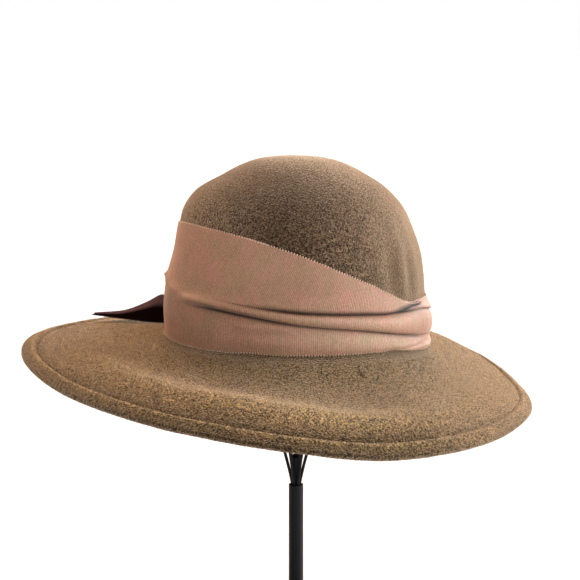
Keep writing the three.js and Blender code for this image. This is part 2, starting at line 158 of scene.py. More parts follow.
# The ribbon: heights of its two edges and two creases, how deep each crease is, how far the roll between
# them and the stretch under it stand out, how much that stretch flares to its edge, and how far its ribs lean
bandRows = makeRows(
    "azimuth top upper lower bottom upperDepth lowerDepth roll skirt flare lean",
    (-180, 82, 42, 33, 0.5, 0.1, 0, 2.2, 0.6, 0, 0.1),
    (-165, 85.6, 41, 33, 0.5, 0, 0, 2.4, 0.7, 0, 0.15),
    (-150, 86.5, 40, 33, 0.5, 0, 0, 2.8, 0.8, 0, 0.2),
    (-136, 85.2, 39, 32.8, 0.5, 0, 0.6, 3.2, 1.2, 0, 0.27),
    (-126, 83.7, 38, 32.4, 0.5, 0, 1, 3.6, 1.6, 0, 0.3),
    (-110, 79.5, 35.3, 29.4, 0.5, 0.3, 1, 4, 2, 0, 0.35),
    (-88, 69, 31.8, 23.7, 0.5, 1, 1, 4.6, 2.6, 0.1, 0.4),
    (-62, 51, 29, 18.1, 0, 1, 1, 5, 3, 0.4, 0.35),
    (-43, 36.6, 27, 12.3, -2, 1, 0.9, 5, 3.4, 1, 0.2),
    (-33, 31.6, 26.4, 9.2, -4.5, 0.8, 0.7, 5, 3.8, 1, 0.05),
    (-24, 31.4, 25.6, 6.4, -6.2, 0.6, 0.4, 5, 3.8, 0.7, 0),
    (0, 29.4, 20, 2.6, -8.5, 0.6, 0.1, 5, 3, 0.3, 0),
    (20, 29.6, 21, 5.5, -4.6, 0.8, 0.6, 4.8, 3.2, 0, 0),
    (40, 31.5, 24, 13, 6, 0.9, 0.8, 4.6, 2.4, 0, 0),
    (90, 41, 27, 14, 3.3, 1, 1, 4.2, 1.8, 0, 0),
    (135, 47, 31, 17, 0.5, 1, 1, 3.6, 1.6, 0, 0),
    (160, 58, 35, 24, 0.5, 0.6, 0.6, 3.4, 1.6, 0, 0),
)

ribbon = {
    "thickness": 0.5,
    "clear": 0.7,  # from the felt to the middle of the ribbon
    "tuck": 5.5,  # how far a fold runs in behind its lip
    "dimLeft": 0.22,  # painted shade: how far the lower stretch at the left and the right end turn to the folds' colour
    "dimRight": 0.24,
    "dimLeftTurn": (-92, -112),  # azimuths, and controls of the section, between which that begins
    "dimLeftParts": (8, 4),
    "dimRightTurn": (-48, -28),
    "rollAt": (12.6, 2),  # where the painted highlight on the roll is strongest, as a control of the section, and how far it reaches
    "skirtAt": (2.8, 1.6),  # and the same on the lower stretch
    "paleFrom": (-115, -70),  # azimuths between which the painted highlight begins and ends
    "paleTo": (-26, -48),
    "lipShade": 1.2,  # the painted shade under the wedge's lip: how dark, how far below it and how wide
    "lipDrop": 0.5,
    "lipReach": 1.1,
    "lipFrom": (-46, -41),  # azimuths between which it begins and ends
    "lipTo": (-21, -26),
    "ribSpacing": 1.3,
    "ribHeight": 0.16,
    "rows": 48,
    "seamAzimuth": 148,
    "faceRows": 10,  # rows of the upper stretch's face, above its lip
    "shadeLow": 5.5,  # how far a fold's painted shade reaches down below its lip
    "shadeHigh": 4,  # and how far it reaches up on the rounded underside of the layer above
    "wedgeRows": 26,
    "wedgeLeast": 0.3,  # the outer layer's least height, at its point
    "wedgeTuck": 3.5,  # how far its lower edge is folded in, once it is as high as wedgeFull
    "wedgeFull": 8,
    "picotSpacing": 2.1,
    "picotSize": (0.5, 0.8, 0.36),  # half a scallop along the edge, beyond it and through it
    "picotUnevenness": 0.15,
    "picotBeyond": 0.25,  # from the edge to a scallop's middle
    "picotGap": (-112, -36),  # between these azimuths the wedge hides the band's upper edge
}

# Where the section's painted shades lie, as stretches of its controls
shadeParts = {
    "belowLower": (-1, 6),
    "belowUpper": (13.5, 16.5),
    "underRoll": (9, 13),
    "underLip": (20, 24),
    "inLowerFold": (5, 9.5),
    "inUpperFold": (16, 20.5),
}

stitch = {
    "spacing": 3.2,
    "size": (1.15, 0.3, 0.3),
    "unevenness": 0.2,
    "inside": 0.6,  # from the fold to the row of stitches
    "rise": 0.1,  # above the groove's floor
}

# The upper stretch's outer layer, which ends in a point at the right: heights of its folded lower edge and
# its upper edge over the band's own, and how far it lies outside the band
wedgeRows = makeRows(
    "azimuth lip over proud",
    (-126, 37.6, -0.8, -0.7),
    (-110, 35.2, -0.1, -0.4),
    (-92, 32.1, 0.5, 0.6),
    (-62, 28.8, 0.6, 0.8),
    (-48, 27.5, 0.6, 1.1),
    (-41, 29.2, 0, 1.9),
    (-32, 30, -0.9, 2.1),
    (-24, 29.8, -1.4, 1.9),
)

# Soft dimples (negative) and bulges in the ribbon
bandDents = makeRows(
    "azimuth height reach rise push",
    (-103, 21.5, 12, 3, 1.8),
    (-106, 15.6, 10, 2, -2),
    (-103, 10.5, 12, 2.6, 1),
    (-136, 36.5, 11, 3, 3.6),
    (-139, 30, 9, 2.6, -1.6),
    (-155, 39.5, 9, 3.4, 2),
    (-168, 43, 7, 3, 1.4),
    (-121, 42, 10, 3.2, -1.3),
    (-36, 2.5, 10, 2.5, 0.8),
    (-30, -0.5, 9, 2, -0.9),
    (-158, 12.5, 14, 2.6, -0.6),
    (-14, -1.5, 5, 2.2, -0.9),
    (-6, 1.6, 5, 2.2, -0.9),
    (-175, 46, 4, 1.5, 2.6),
    (-70, 42, 18, 8, -0.5),
)

# Where the ribbon's lower edge lifts off the brim
edgeLifts = makeRows(
    "azimuth height reach rise lift",
    (-108, 0, 6, 1, 1.3),
    (-46, 0, 4, 1, 1.6),
)


# A smooth curve through levels at knots, with the given slopes
def hermite(knots, levels, slopes, place):
    row = np.clip(np.searchsorted(knots, place, side="right") - 1, 0, len(knots) - 2)
    span = knots[row + 1] - knots[row]
    t = (place - knots[row]) / span
    level = (2 * t**3 - 3 * t**2 + 1) * levels[row] + (3 * t**2 - 2 * t**3) * levels[row + 1]
    return level + span * ((t**3 - 2 * t**2 + t) * slopes[row] + (t**3 - t**2) * slopes[row + 1])


# A table read round the hat, closed on itself
def around(table, column, azimuth):
    count = len(table)
    order = np.arange(-2, count + 3)
    knots = np.array([table[k % count]["azimuth"] + 360.0 * (k // count) for k in order])
    levels = np.array([float(table[k % count][column]) for k in order])
    slopes = np.zeros(len(knots))
    slopes[1:-1] = (levels[2:] - levels[:-2]) / (knots[2:] - knots[:-2])
    turned = (np.asarray(azimuth, float) - knots[2]) % 360 + knots[2]
    return hermite(knots, levels, slopes, turned)


# A table read from its first row to its last, by azimuth or by row
def between(table, column, place, knots=None):
    knots = np.array([float(row["azimuth"]) for row in table]) if knots is None else knots
    levels = np.array([float(row[column]) for row in table])
    slopes = np.gradient(levels, knots)
    return hermite(knots, levels, slopes, np.clip(place, knots[0], knots[-1]))


def smoothStep(low, high, value):
    t = np.clip((value - low) / (high - low), 0, 1)
    return t * t * (3 - 2 * t)


def mix(low, high, share):
    return low + (high - low) * share


def crownSection(share):
    last = len(crownRows) - 1
    place = np.clip(share, 0, 1) * last
    row = np.minimum(np.floor(place).astype(int), last - 1)
    t = place - row
    section = {}
    for column in ("height", "front", "back", "side"):
        inner = [float(r[column]) for r in crownRows]
        mirrored = inner[-2] if column == "height" else -inner[-2]
        values = np.array([2 * inner[0] - inner[1], *inner, mirrored])
        before, start, end, after = (values[row + k] for k in range(4))
        bend = 2 * before - 5 * start + 4 * end - after
        twist = 3 * start - before - 3 * end + after
        section[column] = 0.5 * (2 * start + (end - before) * t + bend * t**2 + twist * t**3)
    return section


shareSteps = np.linspace(0, 1, 1500)
shareHeights = crownSection(shareSteps)["height"]


def crownPoint(azimuth, share):
    section = crownSection(share)
    across, aside = np.cos(np.radians(azimuth)), np.sin(np.radians(azimuth))
    halfLength = np.where(across > 0, section["front"], section["back"])
    return np.stack([halfLength * across, section["side"] * aside, section["height"] + 0 * across], axis=-1)


def crownPointAt(azimuth, height):
    height = height + 0 * azimuth
    point = crownPoint(azimuth, np.interp(height, shareHeights, shareSteps))
    point[..., 2] = np.where(height > 0, point[..., 2], height)
    return point


def brimEnds(azimuth):
    reach = around(brimRows, "reach", azimuth) - felt["thickness"]
    start = crownPointAt(azimuth, around(brimRows, "foot", azimuth))
    across, aside = np.cos(np.radians(azimuth)), np.sin(np.radians(azimuth))
    end = np.stack([reach * across, reach * aside, -around(brimRows, "drop", azimuth)], axis=-1)
    return start, end, np.linalg.norm(end - start, axis=-1)


def brimPoint(azimuth, share):
    start, end, _ = brimEnds(azimuth)
    fall = share + around(brimRows, "shelf", azimuth) * np.sin(2 * np.pi * share) / (2 * np.pi)
    point = start + (end - start) * np.asarray(share)[..., None]
    point[..., 2] = start[..., 2] + (end[..., 2] - start[..., 2]) * fall
    return point


# The felt's top by distance from the bend: up the crown if positive, out along the brim if negative
def feltPoint(azimuth, along):
    azimuth, along = np.broadcast_arrays(np.asarray(azimuth, float), np.asarray(along, float))
    fillet = felt["fillet"]
    _, _, width = brimEnds(azimuth)
    foot = around(brimRows, "foot", azimuth)
    t = np.clip((fillet - along) / (2 * fillet), 0, 1)[..., None]
    above = crownPointAt(azimuth, foot + np.maximum(along, fillet))
    corner = crownPointAt(azimuth, foot)
    beyond = brimPoint(azimuth, np.maximum(-along, fillet) / width)
    return above * (1 - t) ** 2 + corner * 2 * t * (1 - t) + beyond * t**2


# The direction out of a surface given by a function of azimuth and a second value
def outOf(place, azimuth, value, step):
    turn = place(azimuth + 0.5, value) - place(azimuth - 0.5, value)
    rise = place(azimuth, value + step) - place(azimuth, value - step)
    out = np.cross(turn, rise)
    return out / np.maximum(np.linalg.norm(out, axis=-1, keepdims=True), 1e-9)


def roundNoise(points, size, seed):
    flat = points.reshape(-1, 3) / size
    values = [noise.noise(Vector((x + seed, y, z))) for x, y, z in flat]
    return np.array(values).reshape(points.shape[:-1])


def humps(table, azimuth, height, column):
    total = 0
    for row in table:
        turned = ((azimuth - row["azimuth"] + 180) % 360 - 180) / row["reach"]
        raised = (height - row["height"]) / row["rise"]
        total = total + row[column] * np.exp(-(turned**2) - raised**2)
    return total


def addObject(name, mesh):
    piece = bpy.data.objects.new(name, mesh)
    bpy.context.scene.collection.objects.link(piece)
    for polygon in mesh.polygons:
        polygon.use_smooth = True
    return piece


# Makes a mesh from millimetres; lift is the level that its heights count from
def makeMesh(name, points, faces, lift=joinHeight, edges=()):
    mesh = bpy.data.meshes.new(name)
    raised = np.asarray(points).reshape(-1, 3) + np.array([0, 0, lift])
    mesh.from_pydata((raised * mm).tolist(), edges, faces)
    mesh.update()
    return addObject(name, mesh)


def storeValues(piece, name, values, kind="FLOAT"):
    attribute = piece.data.attributes.new(name, kind, "POINT")
    word = "vector" if kind == "FLOAT_VECTOR" else "value"
    attribute.data.foreach_set(word, np.asarray(values, np.float32).ravel())


# Faces of a round body: its rings of points come first, then a pole before them and a pole after them
def bodyFaces(rings, columns):
    faces = []
    for low in range(0, (rings - 1) * columns, columns):
        for k in range(columns):
            after = (k + 1) % columns
            faces.append((low + k, low + columns + k, low + columns + after, low + after))
    pole, last = rings * columns, (rings - 1) * columns
    for k in range(columns):
        after = (k + 1) % columns
        faces.append((pole, k, after))
        faces.append((pole + 1, last + after, last + k))
    return faces


# Node trees: an input is given in order, or by its name; a socket is linked and anything else is set
def addNode(tree, kind, settings=None, *values, **named):
    node = tree.nodes.new(kind)
    for key, value in (settings or {}).items():
        setattr(node, key, value)
    for key, value in [*enumerate(values), *named.items()]:
        if isinstance(value, bpy.types.NodeSocket):
            tree.links.new(value, node.inputs[key])
        elif value is not None:
            node.inputs[key].default_value = value
    return node


def mathNode(tree, operation, *values):
    return addNode(tree, "ShaderNodeMath", {"operation": operation}, *values).outputs[0]


def vectorNode(tree, operation, *values, **named):
    return addNode(tree, "ShaderNodeVectorMath", {"operation": operation}, *values, **named).outputs[0]


def startTree(name, inputs):
    tree = bpy.data.node_groups.new(name, "GeometryNodeTree")
    tree.interface.new_socket("Geometry", in_out="INPUT", socket_type="NodeSocketGeometry")
    for label, kind in inputs.items():
        tree.interface.new_socket(label, in_out="INPUT", socket_type=f"NodeSocket{kind}")
    tree.interface.new_socket("Finish", in_out="INPUT", socket_type="NodeSocketMaterial")
    tree.interface.new_socket("Geometry", in_out="OUTPUT", socket_type="NodeSocketGeometry")
    return tree, tree.nodes.new("NodeGroupInput").outputs


# The tree's last two steps: real meshes in place of instances, and the finish
def endTree(tree, give, geometry):
    real = addNode(tree, "GeometryNodeRealizeInstances", None, geometry)
    finish = addNode(tree, "GeometryNodeSetMaterial", Geometry=real.outputs[0], Material=give["Finish"])
    addNode(tree, "NodeGroupOutput", None, finish.outputs[0])
    return tree


def storedNode(tree, name, kind="FLOAT"):
    node = addNode(tree, "GeometryNodeInputNamedAttribute", {"data_type": kind}, Name=name)
    return node.outputs["Attribute"]


def randomNode(tree, low, high, seed):
    node = addNode(tree, "FunctionNodeRandomValue", {"data_type": "FLOAT"}, None, None, low, high, Seed=seed)
    return node.outputs[1]


# Runs a tree on an object and gives its result as a plain mesh object
def grow(base, tree, name, values, keepBase=False):
    modifier = base.modifiers.new(tree.name, "NODES")
    modifier.node_group = tree
    for item in tree.interface.items_tree:
        if item.in_out == "INPUT" and item.name in values:
            modifier[item.identifier] = values[item.name]
    graph = bpy.context.evaluated_depsgraph_get()
    grown = base.evaluated_get(graph)
    mesh = bpy.data.meshes.new_from_object(grown, preserve_all_data_layers=True, depsgraph=graph)
    base.modifiers.remove(modifier)
    if not keepBase:
        bpy.data.objects.remove(base)
    mesh.name = name
    print(name, len(mesh.polygons), "faces")
    return addObject(name, mesh)


# Hangs a piece on the root body and hides the imported pieces that this one stands for
def settle(piece, slotName, *nodes):
    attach(piece, "root")
    if nodes:
        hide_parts(*nodes)
    return piece


# Materials read the object's own coordinates or its own attributes
def startMaterial(name, color, roughness, specular):
    material = bpy.data.materials.new(name)
    material.use_nodes = True
    material.diffuse_color = (*color, 1)
    shader = material.node_tree.nodes["Principled BSDF"]
    shader.inputs["Base Color"].default_value = (*color, 1)
    shader.inputs["Roughness"].default_value = roughness
    shader.inputs["Specular IOR Level"].default_value = specular
    return material, material.node_tree, shader


def placeNode(tree):
    return addNode(tree, "ShaderNodeTexCoord").outputs["Object"]


def attributeNode(tree, name):
    return addNode(tree, "ShaderNodeAttribute", {"attribute_name": name}).outputs["Fac"]


def noiseNode(tree, vector, scale, detail=3.0, roughness=0.55, twist=0.0):
    node = addNode(tree, "ShaderNodeTexNoise", Vector=vector, Scale=scale, Detail=detail, Roughness=roughness)
    node.inputs["Distortion"].default_value = twist
    return node.outputs["Fac"]


def rampNode(tree, factor, *stops):
    node = addNode(tree, "ShaderNodeValToRGB", None, factor)
    ramp = node.color_ramp
    while len(ramp.elements) < len(stops):
        ramp.elements.new(0.5)
    for element, (place, color) in zip(ramp.elements, stops):
        element.position = place
        element.color = (*color, 1)
    return node.outputs["Color"]


def multiplyColor(tree, first, second):
    node = addNode(tree, "ShaderNodeMix", {"data_type": "RGBA", "blend_type": "MULTIPLY"}, 1.0)
    tree.links.new(first, node.inputs[6])
    tree.links.new(second, node.inputs[7])
    return node.outputs[2]


def mixColor(tree, share, first, second):
    node = addNode(tree, "ShaderNodeMix", {"data_type": "RGBA"}, share)
    tree.links.new(first, node.inputs[6])
    node.inputs[7].default_value = (*second, 1)
    return node.outputs[2]


def bumpNode(tree, shader, height, strength, distance):
    bump = addNode(tree, "ShaderNodeBump", Height=height, Strength=strength, Distance=distance)
    tree.links.new(bump.outputs[0], shader.inputs["Normal"])


# The felt's colours: of the cloth and of the loose fibres, and the stops that change both
# Each mean is lighter than its cloth's shades: painted light on the crown's top and right
feltLook = {
    "cloth": {"dark": (0.008, 0.0045, 0.002), "middle": (0.065, 0.039, 0.022), "light": (0.19, 0.132, 0.084),
              "mean": (0.12, 0.08, 0.051), "spread": 0.1},
    "fibre": {"dark": (0.003, 0.002, 0.001), "middle": (0.053, 0.033, 0.019), "light": (0.4, 0.28, 0.18),
              "mean": (0.178, 0.121, 0.079), "spread": 0.33},
    "blotches": ((0.3, (0.84, 0.87, 0.76)), (0.7, (1.12, 1.08, 1.09))),
    # More golden on the brim, darker towards the crown's top: painted shade on the top
    "byHeight": ((0, (1.12, 1.1, 0.76)), (0.26, (1, 0.98, 0.95)), (0.66, (1, 0.98, 0.95)),
                 (0.87, (0.42, 0.41, 0.4))),
    # Lighter above 0 and darker below 0 by the felt's value: painted highlight and painted shade
    "byPaintedLightAndShade": ((0, (0.45, 0.44, 0.42)), (0.5, (0.97, 0.97, 0.97)), (1, (1.56, 1.65, 1.66))),
    "sheenRoughness": 0.35,
    "sheenTint": (1, 0.79, 0.56, 1),
    "ownShade": 0.85,  # how much of a fibre's shade is its own
    "calm": 0.6,
    "lowest": -6,  # where the shades by height begin
    "calmAbove": 20,
}


# How far the felt's shades are evened out on the crown's top and right, where its nap is brushed flat, and
# lightened towards a lighter mean there: painted light
def calmNode(tree, place):
    part = addNode(tree, "ShaderNodeSeparateXYZ", None, place).outputs
    lowX, highX = (value * mm for value in felt["brushedRight"])
    lowZ, highZ = ((joinHeight + value) * mm for value in felt["brushedTop"])
    right = addNode(tree, "ShaderNodeMapRange", None, part["X"], lowX, highX, 0.0, 1.0).outputs[0]
    onCrown = mathNode(tree, "GREATER_THAN", part["Z"], (joinHeight + feltLook["calmAbove"]) * mm)
    top = addNode(tree, "ShaderNodeMapRange", None, part["Z"], lowZ, highZ, 0.0, 1.0).outputs[0]
    both = mathNode(tree, "MAXIMUM", mathNode(tree, "MULTIPLY", right, onCrown), top)
    return mathNode(tree, "MULTIPLY", both, feltLook["calm"])


# Brown wool in mixed shades; on the loose fibres each fibre has a shade of its own
def feltMaterial(name, kind):
    look = feltLook[kind]
    dark, middle, light, spread = (look[key] for key in ("dark", "middle", "light", "spread"))
    material, tree, shader = startMaterial(name, middle, 0.95, 0.12)
    place = placeNode(tree)
    grain = noiseNode(tree, place, 850, 2, 0.6, 0.5)
    fleck = noiseNode(tree, place, 1500, 1, 0.5)
    value = mathNode(tree, "MULTIPLY_ADD", grain, 0.5, mathNode(tree, "MULTIPLY", fleck, 0.5))
    if kind == "fibre":
        shade = attributeNode(tree, "shade")
        own = feltLook["ownShade"]
        value = mathNode(tree, "MULTIPLY_ADD", value, 1 - own, mathNode(tree, "MULTIPLY", shade, own))
    calm = calmNode(tree, place)
    color = rampNode(tree, value, (0.5 - spread, dark), (0.5, middle), (0.5 + spread, light))
    # Evened out and lightened towards the mean on the crown's top and right: painted light
    color = mixColor(tree, calm, color, look["mean"])
    blotch = rampNode(tree, noiseNode(tree, place, 26), *feltLook["blotches"])
    # More golden on the brim and painted shade towards the crown's top
    height = addNode(tree, "ShaderNodeSeparateXYZ", None, place).outputs["Z"]
    low, high = (joinHeight + feltLook["lowest"]) * mm, (joinHeight + crownHeight) * mm
    risen = mathNode(tree, "DIVIDE", mathNode(tree, "SUBTRACT", height, low), high - low)
    heightToneAndShade = rampNode(tree, risen, *feltLook["byHeight"])
    # Painted highlights on the ridge and crest, painted shade in the groove, on the fold's face and nose, by
    # the felt's value
    paintedLightAndShade = attributeNode(tree, "paintedLightAndShade")
    wearAndPaintedLight = rampNode(tree, mathNode(tree, "MULTIPLY_ADD", paintedLightAndShade, 0.5, 0.5), *feltLook["byPaintedLightAndShade"])
    toned = multiplyColor(tree, multiplyColor(tree, color, blotch), multiplyColor(tree, heightToneAndShade, wearAndPaintedLight))
    tree.links.new(toned, shader.inputs["Base Color"])
    shader.inputs["Sheen Weight"].default_value = 1
    shader.inputs["Sheen Roughness"].default_value = feltLook["sheenRoughness"]
    shader.inputs["Sheen Tint"].default_value = feltLook["sheenTint"]
    if kind == "cloth":
        lively = mathNode(tree, "SUBTRACT", 1.0, calm)
        rough = mathNode(tree, "MULTIPLY", mathNode(tree, "MULTIPLY_ADD", fleck, 0.6, grain), lively)
        bumpNode(tree, shader, rough, 0.9, 0.0028)
    return material


# The ribbon's colours: of its three cloths, and the stops that change them
ribbonLook = {
    "rose": {"base": (0.335, 0.194, 0.127), "pale": (0.405, 0.248, 0.168),
             "specular": 0.2, "sheen": 0.18, "valley": 0.62},
    # The scallops' cloth is lighter than the rose cloth: painted highlight on the scallops
    "edge": {"base": (0.5, 0.35, 0.24), "pale": (0.64, 0.49, 0.37),
             "specular": 0.25, "sheen": 0.1, "valley": 1},
    "dark": {"base": (0.058, 0.036, 0.042), "pale": (0.082, 0.052, 0.06),
             "specular": 0, "sheen": 0, "valley": 0.8},
    # Painted shade towards a fold value of 1, painted highlight below 0
    "byFold": ((0, (1.22, 1.34, 1.38)), (0.5, (1, 1, 1)), (0.55, (1, 1, 1)), (0.95, (0.045, 0.034, 0.03))),
    "wear": ((0.35, (0.88, 0.98, 0.88)), (0.65, (1.1, 1, 1.06))),
    "slubs": ((0.3, (0.8, 0.79, 0.78)), (0.7, (1.16, 1.17, 1.18))),
    "threads": (900, 60, 1),
    "weft": (500, 2600, 1),
    "sheenRoughness": 0.4,
}


# Ribbon whose threads follow its own length and width
def ribbonMaterial(name, look):
    material, tree, shader = startMaterial(name, look["base"], 0.5, look["specular"])
    along = attributeNode(tree, "along")
    across = attributeNode(tree, "across")
    cloth = addNode(tree, "ShaderNodeCombineXYZ", None, along, across).outputs[0]
    place = placeNode(tree)
    thread = noiseNode(tree, vectorNode(tree, "MULTIPLY", cloth, ribbonLook["threads"]), 1.0, 2)
    weft = noiseNode(tree, vectorNode(tree, "MULTIPLY", cloth, ribbonLook["weft"]), 1.0, 2)
    blotch = mathNode(tree, "MULTIPLY", noiseNode(tree, place, 38), 0.5)
    value = mathNode(tree, "MULTIPLY_ADD", thread, 0.5, blotch)
    plain = rampNode(tree, value, (0.32, look["base"]), (0.66, look["pale"]))
    wearAndPaintedLight = rampNode(tree, noiseNode(tree, place, 55, 4, 0.7), *ribbonLook["wear"])
    slub = rampNode(tree, noiseNode(tree, place, 800, 2, 0.7), *ribbonLook["slubs"])
    color = multiplyColor(tree, multiplyColor(tree, plain, wearAndPaintedLight), slub)
    # Darker in the valleys between the ribs: painted shade
    angle = mathNode(tree, "MULTIPLY", along, 2 * math.pi / (ribbon["ribSpacing"] * mm))
    wave = mathNode(tree, "MULTIPLY_ADD", mathNode(tree, "COSINE", angle), 0.5, 0.5)
    valley = (look["valley"],) * 3
    ribbed = multiplyColor(tree, color, rampNode(tree, wave, (0.0, valley), (0.6, (1, 1, 1))))
    # Painted shade in the folds, painted highlight where the fold value is below 0
    fold = attributeNode(tree, "fold")
    depth = mathNode(tree, "MULTIPLY_ADD", fold, 0.5, 0.5)
    shaded = multiplyColor(tree, ribbed, rampNode(tree, depth, *ribbonLook["byFold"]))
    tree.links.new(shaded, shader.inputs["Base Color"])
    shader.inputs["Sheen Weight"].default_value = look["sheen"]
    shader.inputs["Sheen Roughness"].default_value = ribbonLook["sheenRoughness"]
    bumpNode(tree, shader, mathNode(tree, "MULTIPLY_ADD", thread, 0.5, weft), 0.25, 0.0003)
    return material


def threadMaterial():
    material, tree, shader = startMaterial("stitchThread", (0.06, 0.038, 0.024), 0.6, 0.3)
    place = placeNode(tree)
    shades = (0.35, (0.045, 0.028, 0.018)), (0.65, (0.085, 0.056, 0.036))
    color = rampNode(tree, noiseNode(tree, place, 900), *shades)
    tree.links.new(color, shader.inputs["Base Color"])
    bumpNode(tree, shader, noiseNode(tree, place, 3000, 2), 0.4, 0.0002)
    return material


def paintMaterial():
    material, tree, shader = startMaterial("satinBlackPaint", (0.002, 0.0025, 0.003), 0.5, 0.15)
    place = placeNode(tree)
    rough = mathNode(tree, "MULTIPLY_ADD", noiseNode(tree, place, 160, 4), 0.2, 0.4)
    tree.links.new(rough, shader.inputs["Roughness"])
    bumpNode(tree, shader, noiseNode(tree, place, 900), 0.12, 0.0002)
    return material


def floorMaterial():
    material, tree, shader = startMaterial("paleFloor", (0.46, 0.5, 0.54), 0.9, 0.1)
    place = placeNode(tree)
    shades = (0.0, (0.455, 0.495, 0.535)), (1.0, (0.465, 0.505, 0.545))
    tone = rampNode(tree, noiseNode(tree, place, 3, 2), *shades)
    tree.links.new(tone, shader.inputs["Base Color"])
    shader.inputs["Emission Color"].default_value = (0.7, 0.86, 1, 1)
    shader.inputs["Emission Strength"].default_value = 0.35
    return material


def brimRidge(azimuth, share):
    beyond = share - around(brimRows, "ridgeAt", azimuth)
    reach = np.where(beyond > 0, felt["ridgeOuter"], felt["ridgeInner"])
    return around(brimRows, "ridge", azimuth) * np.exp(-((beyond / reach) ** 2))


# How far the felt stands out of its plain shape: unevenness, hand-shaped dents and the brim's ridge.
# The brim's share is 0 at the bend and 1 at the edge, and below 0 on the crown.
def feltRelief(points, azimuth, share):
    onBrim = share >= 0
    aboveRibbon = smoothStep(-4, 7, points[..., 2] - around(bandRows, "top", azimuth))
    bare = np.where(onBrim, smoothStep(0.04, 0.16, share), aboveRibbon)
    relief = sum(height * roundNoise(points, size, seed) for seed, (size, height) in enumerate(felt["waves"]))
    ridge = brimRidge(azimuth, share)
    dents = humps(crownDents, azimuth, points[..., 2], "depth")
    return bare * relief + np.where(onBrim, ridge, -dents * bare)


def crownRing(azimuth, share, depth):
    points, out = crownPoint(azimuth, share), outOf(crownPoint, azimuth, share, 0.004)
    relief = feltRelief(points, azimuth, np.full(len(azimuth), -1.0))
    return points + out * (relief + depth)[:, None]


# A ring on the felt by its distance from the bend, and the directions out of it
def brimRing(azimuth, along, depth):
    _, _, width = brimEnds(azimuth)
    points, out = feltPoint(azimuth, along), outOf(feltPoint, azimuth, along, 0.4)
    share = np.where(along > felt["fillet"], -1.0, np.maximum(-along / width, 0))
    return points + out * (feltRelief(points, azimuth, share) + depth)[:, None], out


# The folded edge's round nose, by the angle from its top face
def noseRing(azimuth, angle):
    _, _, width = brimEnds(azimuth)
    edge, out = brimRing(azimuth, -width, 0)
    outward = edge - brimRing(azimuth, 1 - width, 0)[0]
    outward /= np.linalg.norm(outward, axis=1, keepdims=True)
    middle = felt["weltRise"] / 2 - felt["thickness"]
    radius = felt["weltRise"] / 2 + felt["thickness"]
    turned = math.radians(angle)
    return edge + out * (middle + radius * math.cos(turned)) + outward * felt["thickness"] * math.sin(turned)


# The felt as one body: down the crown, out along the brim, round the folded edge and back underneath.
# Its nap value is 1 where loose fibres show and 0 where they don't. Its paintedLightAndShade value is above 0
# for painted highlights on the ridge, crest and crown, and below 0 for painted shade in the groove, on the
# nose and crown.
def feltHat(finish):
    columns = felt["columns"]
    azimuth = np.arange(columns) * 360 / columns - 180
    wall, rise, crest, groove = (felt[key] for key in ("thickness", "weltRise", "weltCrest", "grooveDepth"))
    _, _, width = brimEnds(azimuth)
    top = around(bandRows, "top", azimuth)
    rings, nap, paintedLightAndShade = [], [], []

    def add(ring, amount, rub=0.0):
        rings.append(ring)
        nap.append(np.broadcast_to(amount, columns))
        paintedLightAndShade.append(np.broadcast_to(rub, columns))

    for share in np.linspace(*felt["crownRings"]):
        ring = crownRing(azimuth, share, 0)
        across, height = ring[:, 0], ring[:, 2]
        gone = np.maximum(smoothStep(*felt["brushedRight"], across), smoothStep(*felt["brushedTop"], height))
        # Painted light and shade on the crown
        wearAndPaintedLight = humps(crownLightAndShade, azimuth, height, "rub")
        add(ring, smoothStep(-2, 0, height - top) * (1 - felt["brushed"] * gone), wearAndPaintedLight)
    for along in felt["bendRings"]:
        add(brimRing(azimuth, along + 0 * azimuth, 0)[0], 0)
    for share in np.linspace(*felt["brimRings"]):
        # Painted highlight along the brim's ridge
        rub = brimRidge(azimuth, share - felt["highlightAt"]) / felt["highlightRise"]
        add(brimRing(azimuth, -share * width, 0)[0], 1, rub)
    welt = around(brimRows, "welt", azimuth)
    full = smoothStep(*felt["edgeTurn"], azimuth)
    crest = crest * mix(felt["crestRight"], 1, full)
    lightAndShadeShare = mix(felt["lightAndShadeRight"], 1, full)
    # Painted shade in the groove and on the fold's outer face, painted highlight on its crest
    for inside, depth, rub in grooveRings:
        add(brimRing(azimuth, welt + inside - width, depth * groove)[0], 1, rub * lightAndShadeShare)
    for share, height, rub in foldRings:
        up = mix(rise, crest, height) * min(1, share / felt["weltStart"])
        add(brimRing(azimuth, (1 - share) * welt - width, up)[0], 1, rub * lightAndShadeShare)
    for angle in felt["noseAngles"]:
        # Painted shade on the folded edge's nose
        add(noseRing(azimuth, angle), felt["napNose"], -lightAndShadeShare)
    for inside, depth in underFold:
        add(brimRing(azimuth, welt + inside - width, -depth * wall)[0], felt["napUnder"])
    for share in np.linspace(*felt["underRings"]):
        add(brimRing(azimuth, -share * width, -wall)[0], felt["napUnder"])
    for along in felt["innerBend"]:
        add(brimRing(azimuth, along + 0 * azimuth, -wall)[0], felt["napInside"])
    for share in np.linspace(*felt["innerRings"]):
        add(crownRing(azimuth, share, -wall), felt["napInside"])
    faces = bodyFaces(len(rings), columns)
    poles = [[0, 0, crownHeight], [0, 0, crownHeight - wall]]
    hat = makeMesh("feltHat", np.concatenate([*rings, poles]), faces)
    storeValues(hat, "nap", [*np.concatenate(nap), 1, 0])
    storeValues(hat, "paintedLightAndShade", [*np.concatenate(paintedLightAndShade), 0, 0])
    hat.data.materials.append(finish)
    print("feltHat", len(faces), "faces")
    return hat


# Stretches of loose fibres: between which heights, and each fibre's length, width and lift
napRows = makeRows(
    "name low high length width lift",
    ("crownNap", 20, 200, 1.45, 0.34, 0.15),
    ("innerNap", -14, 20, 1.6, 0.38, 0.32),
    ("brimNap", -29, -14, 1.5, 0.36, 0.3),
    ("edgeNap", -100, -29, 1.5, 0.36, 0.3),
)
napDensity = 1.15  # fibres to a square millimetre


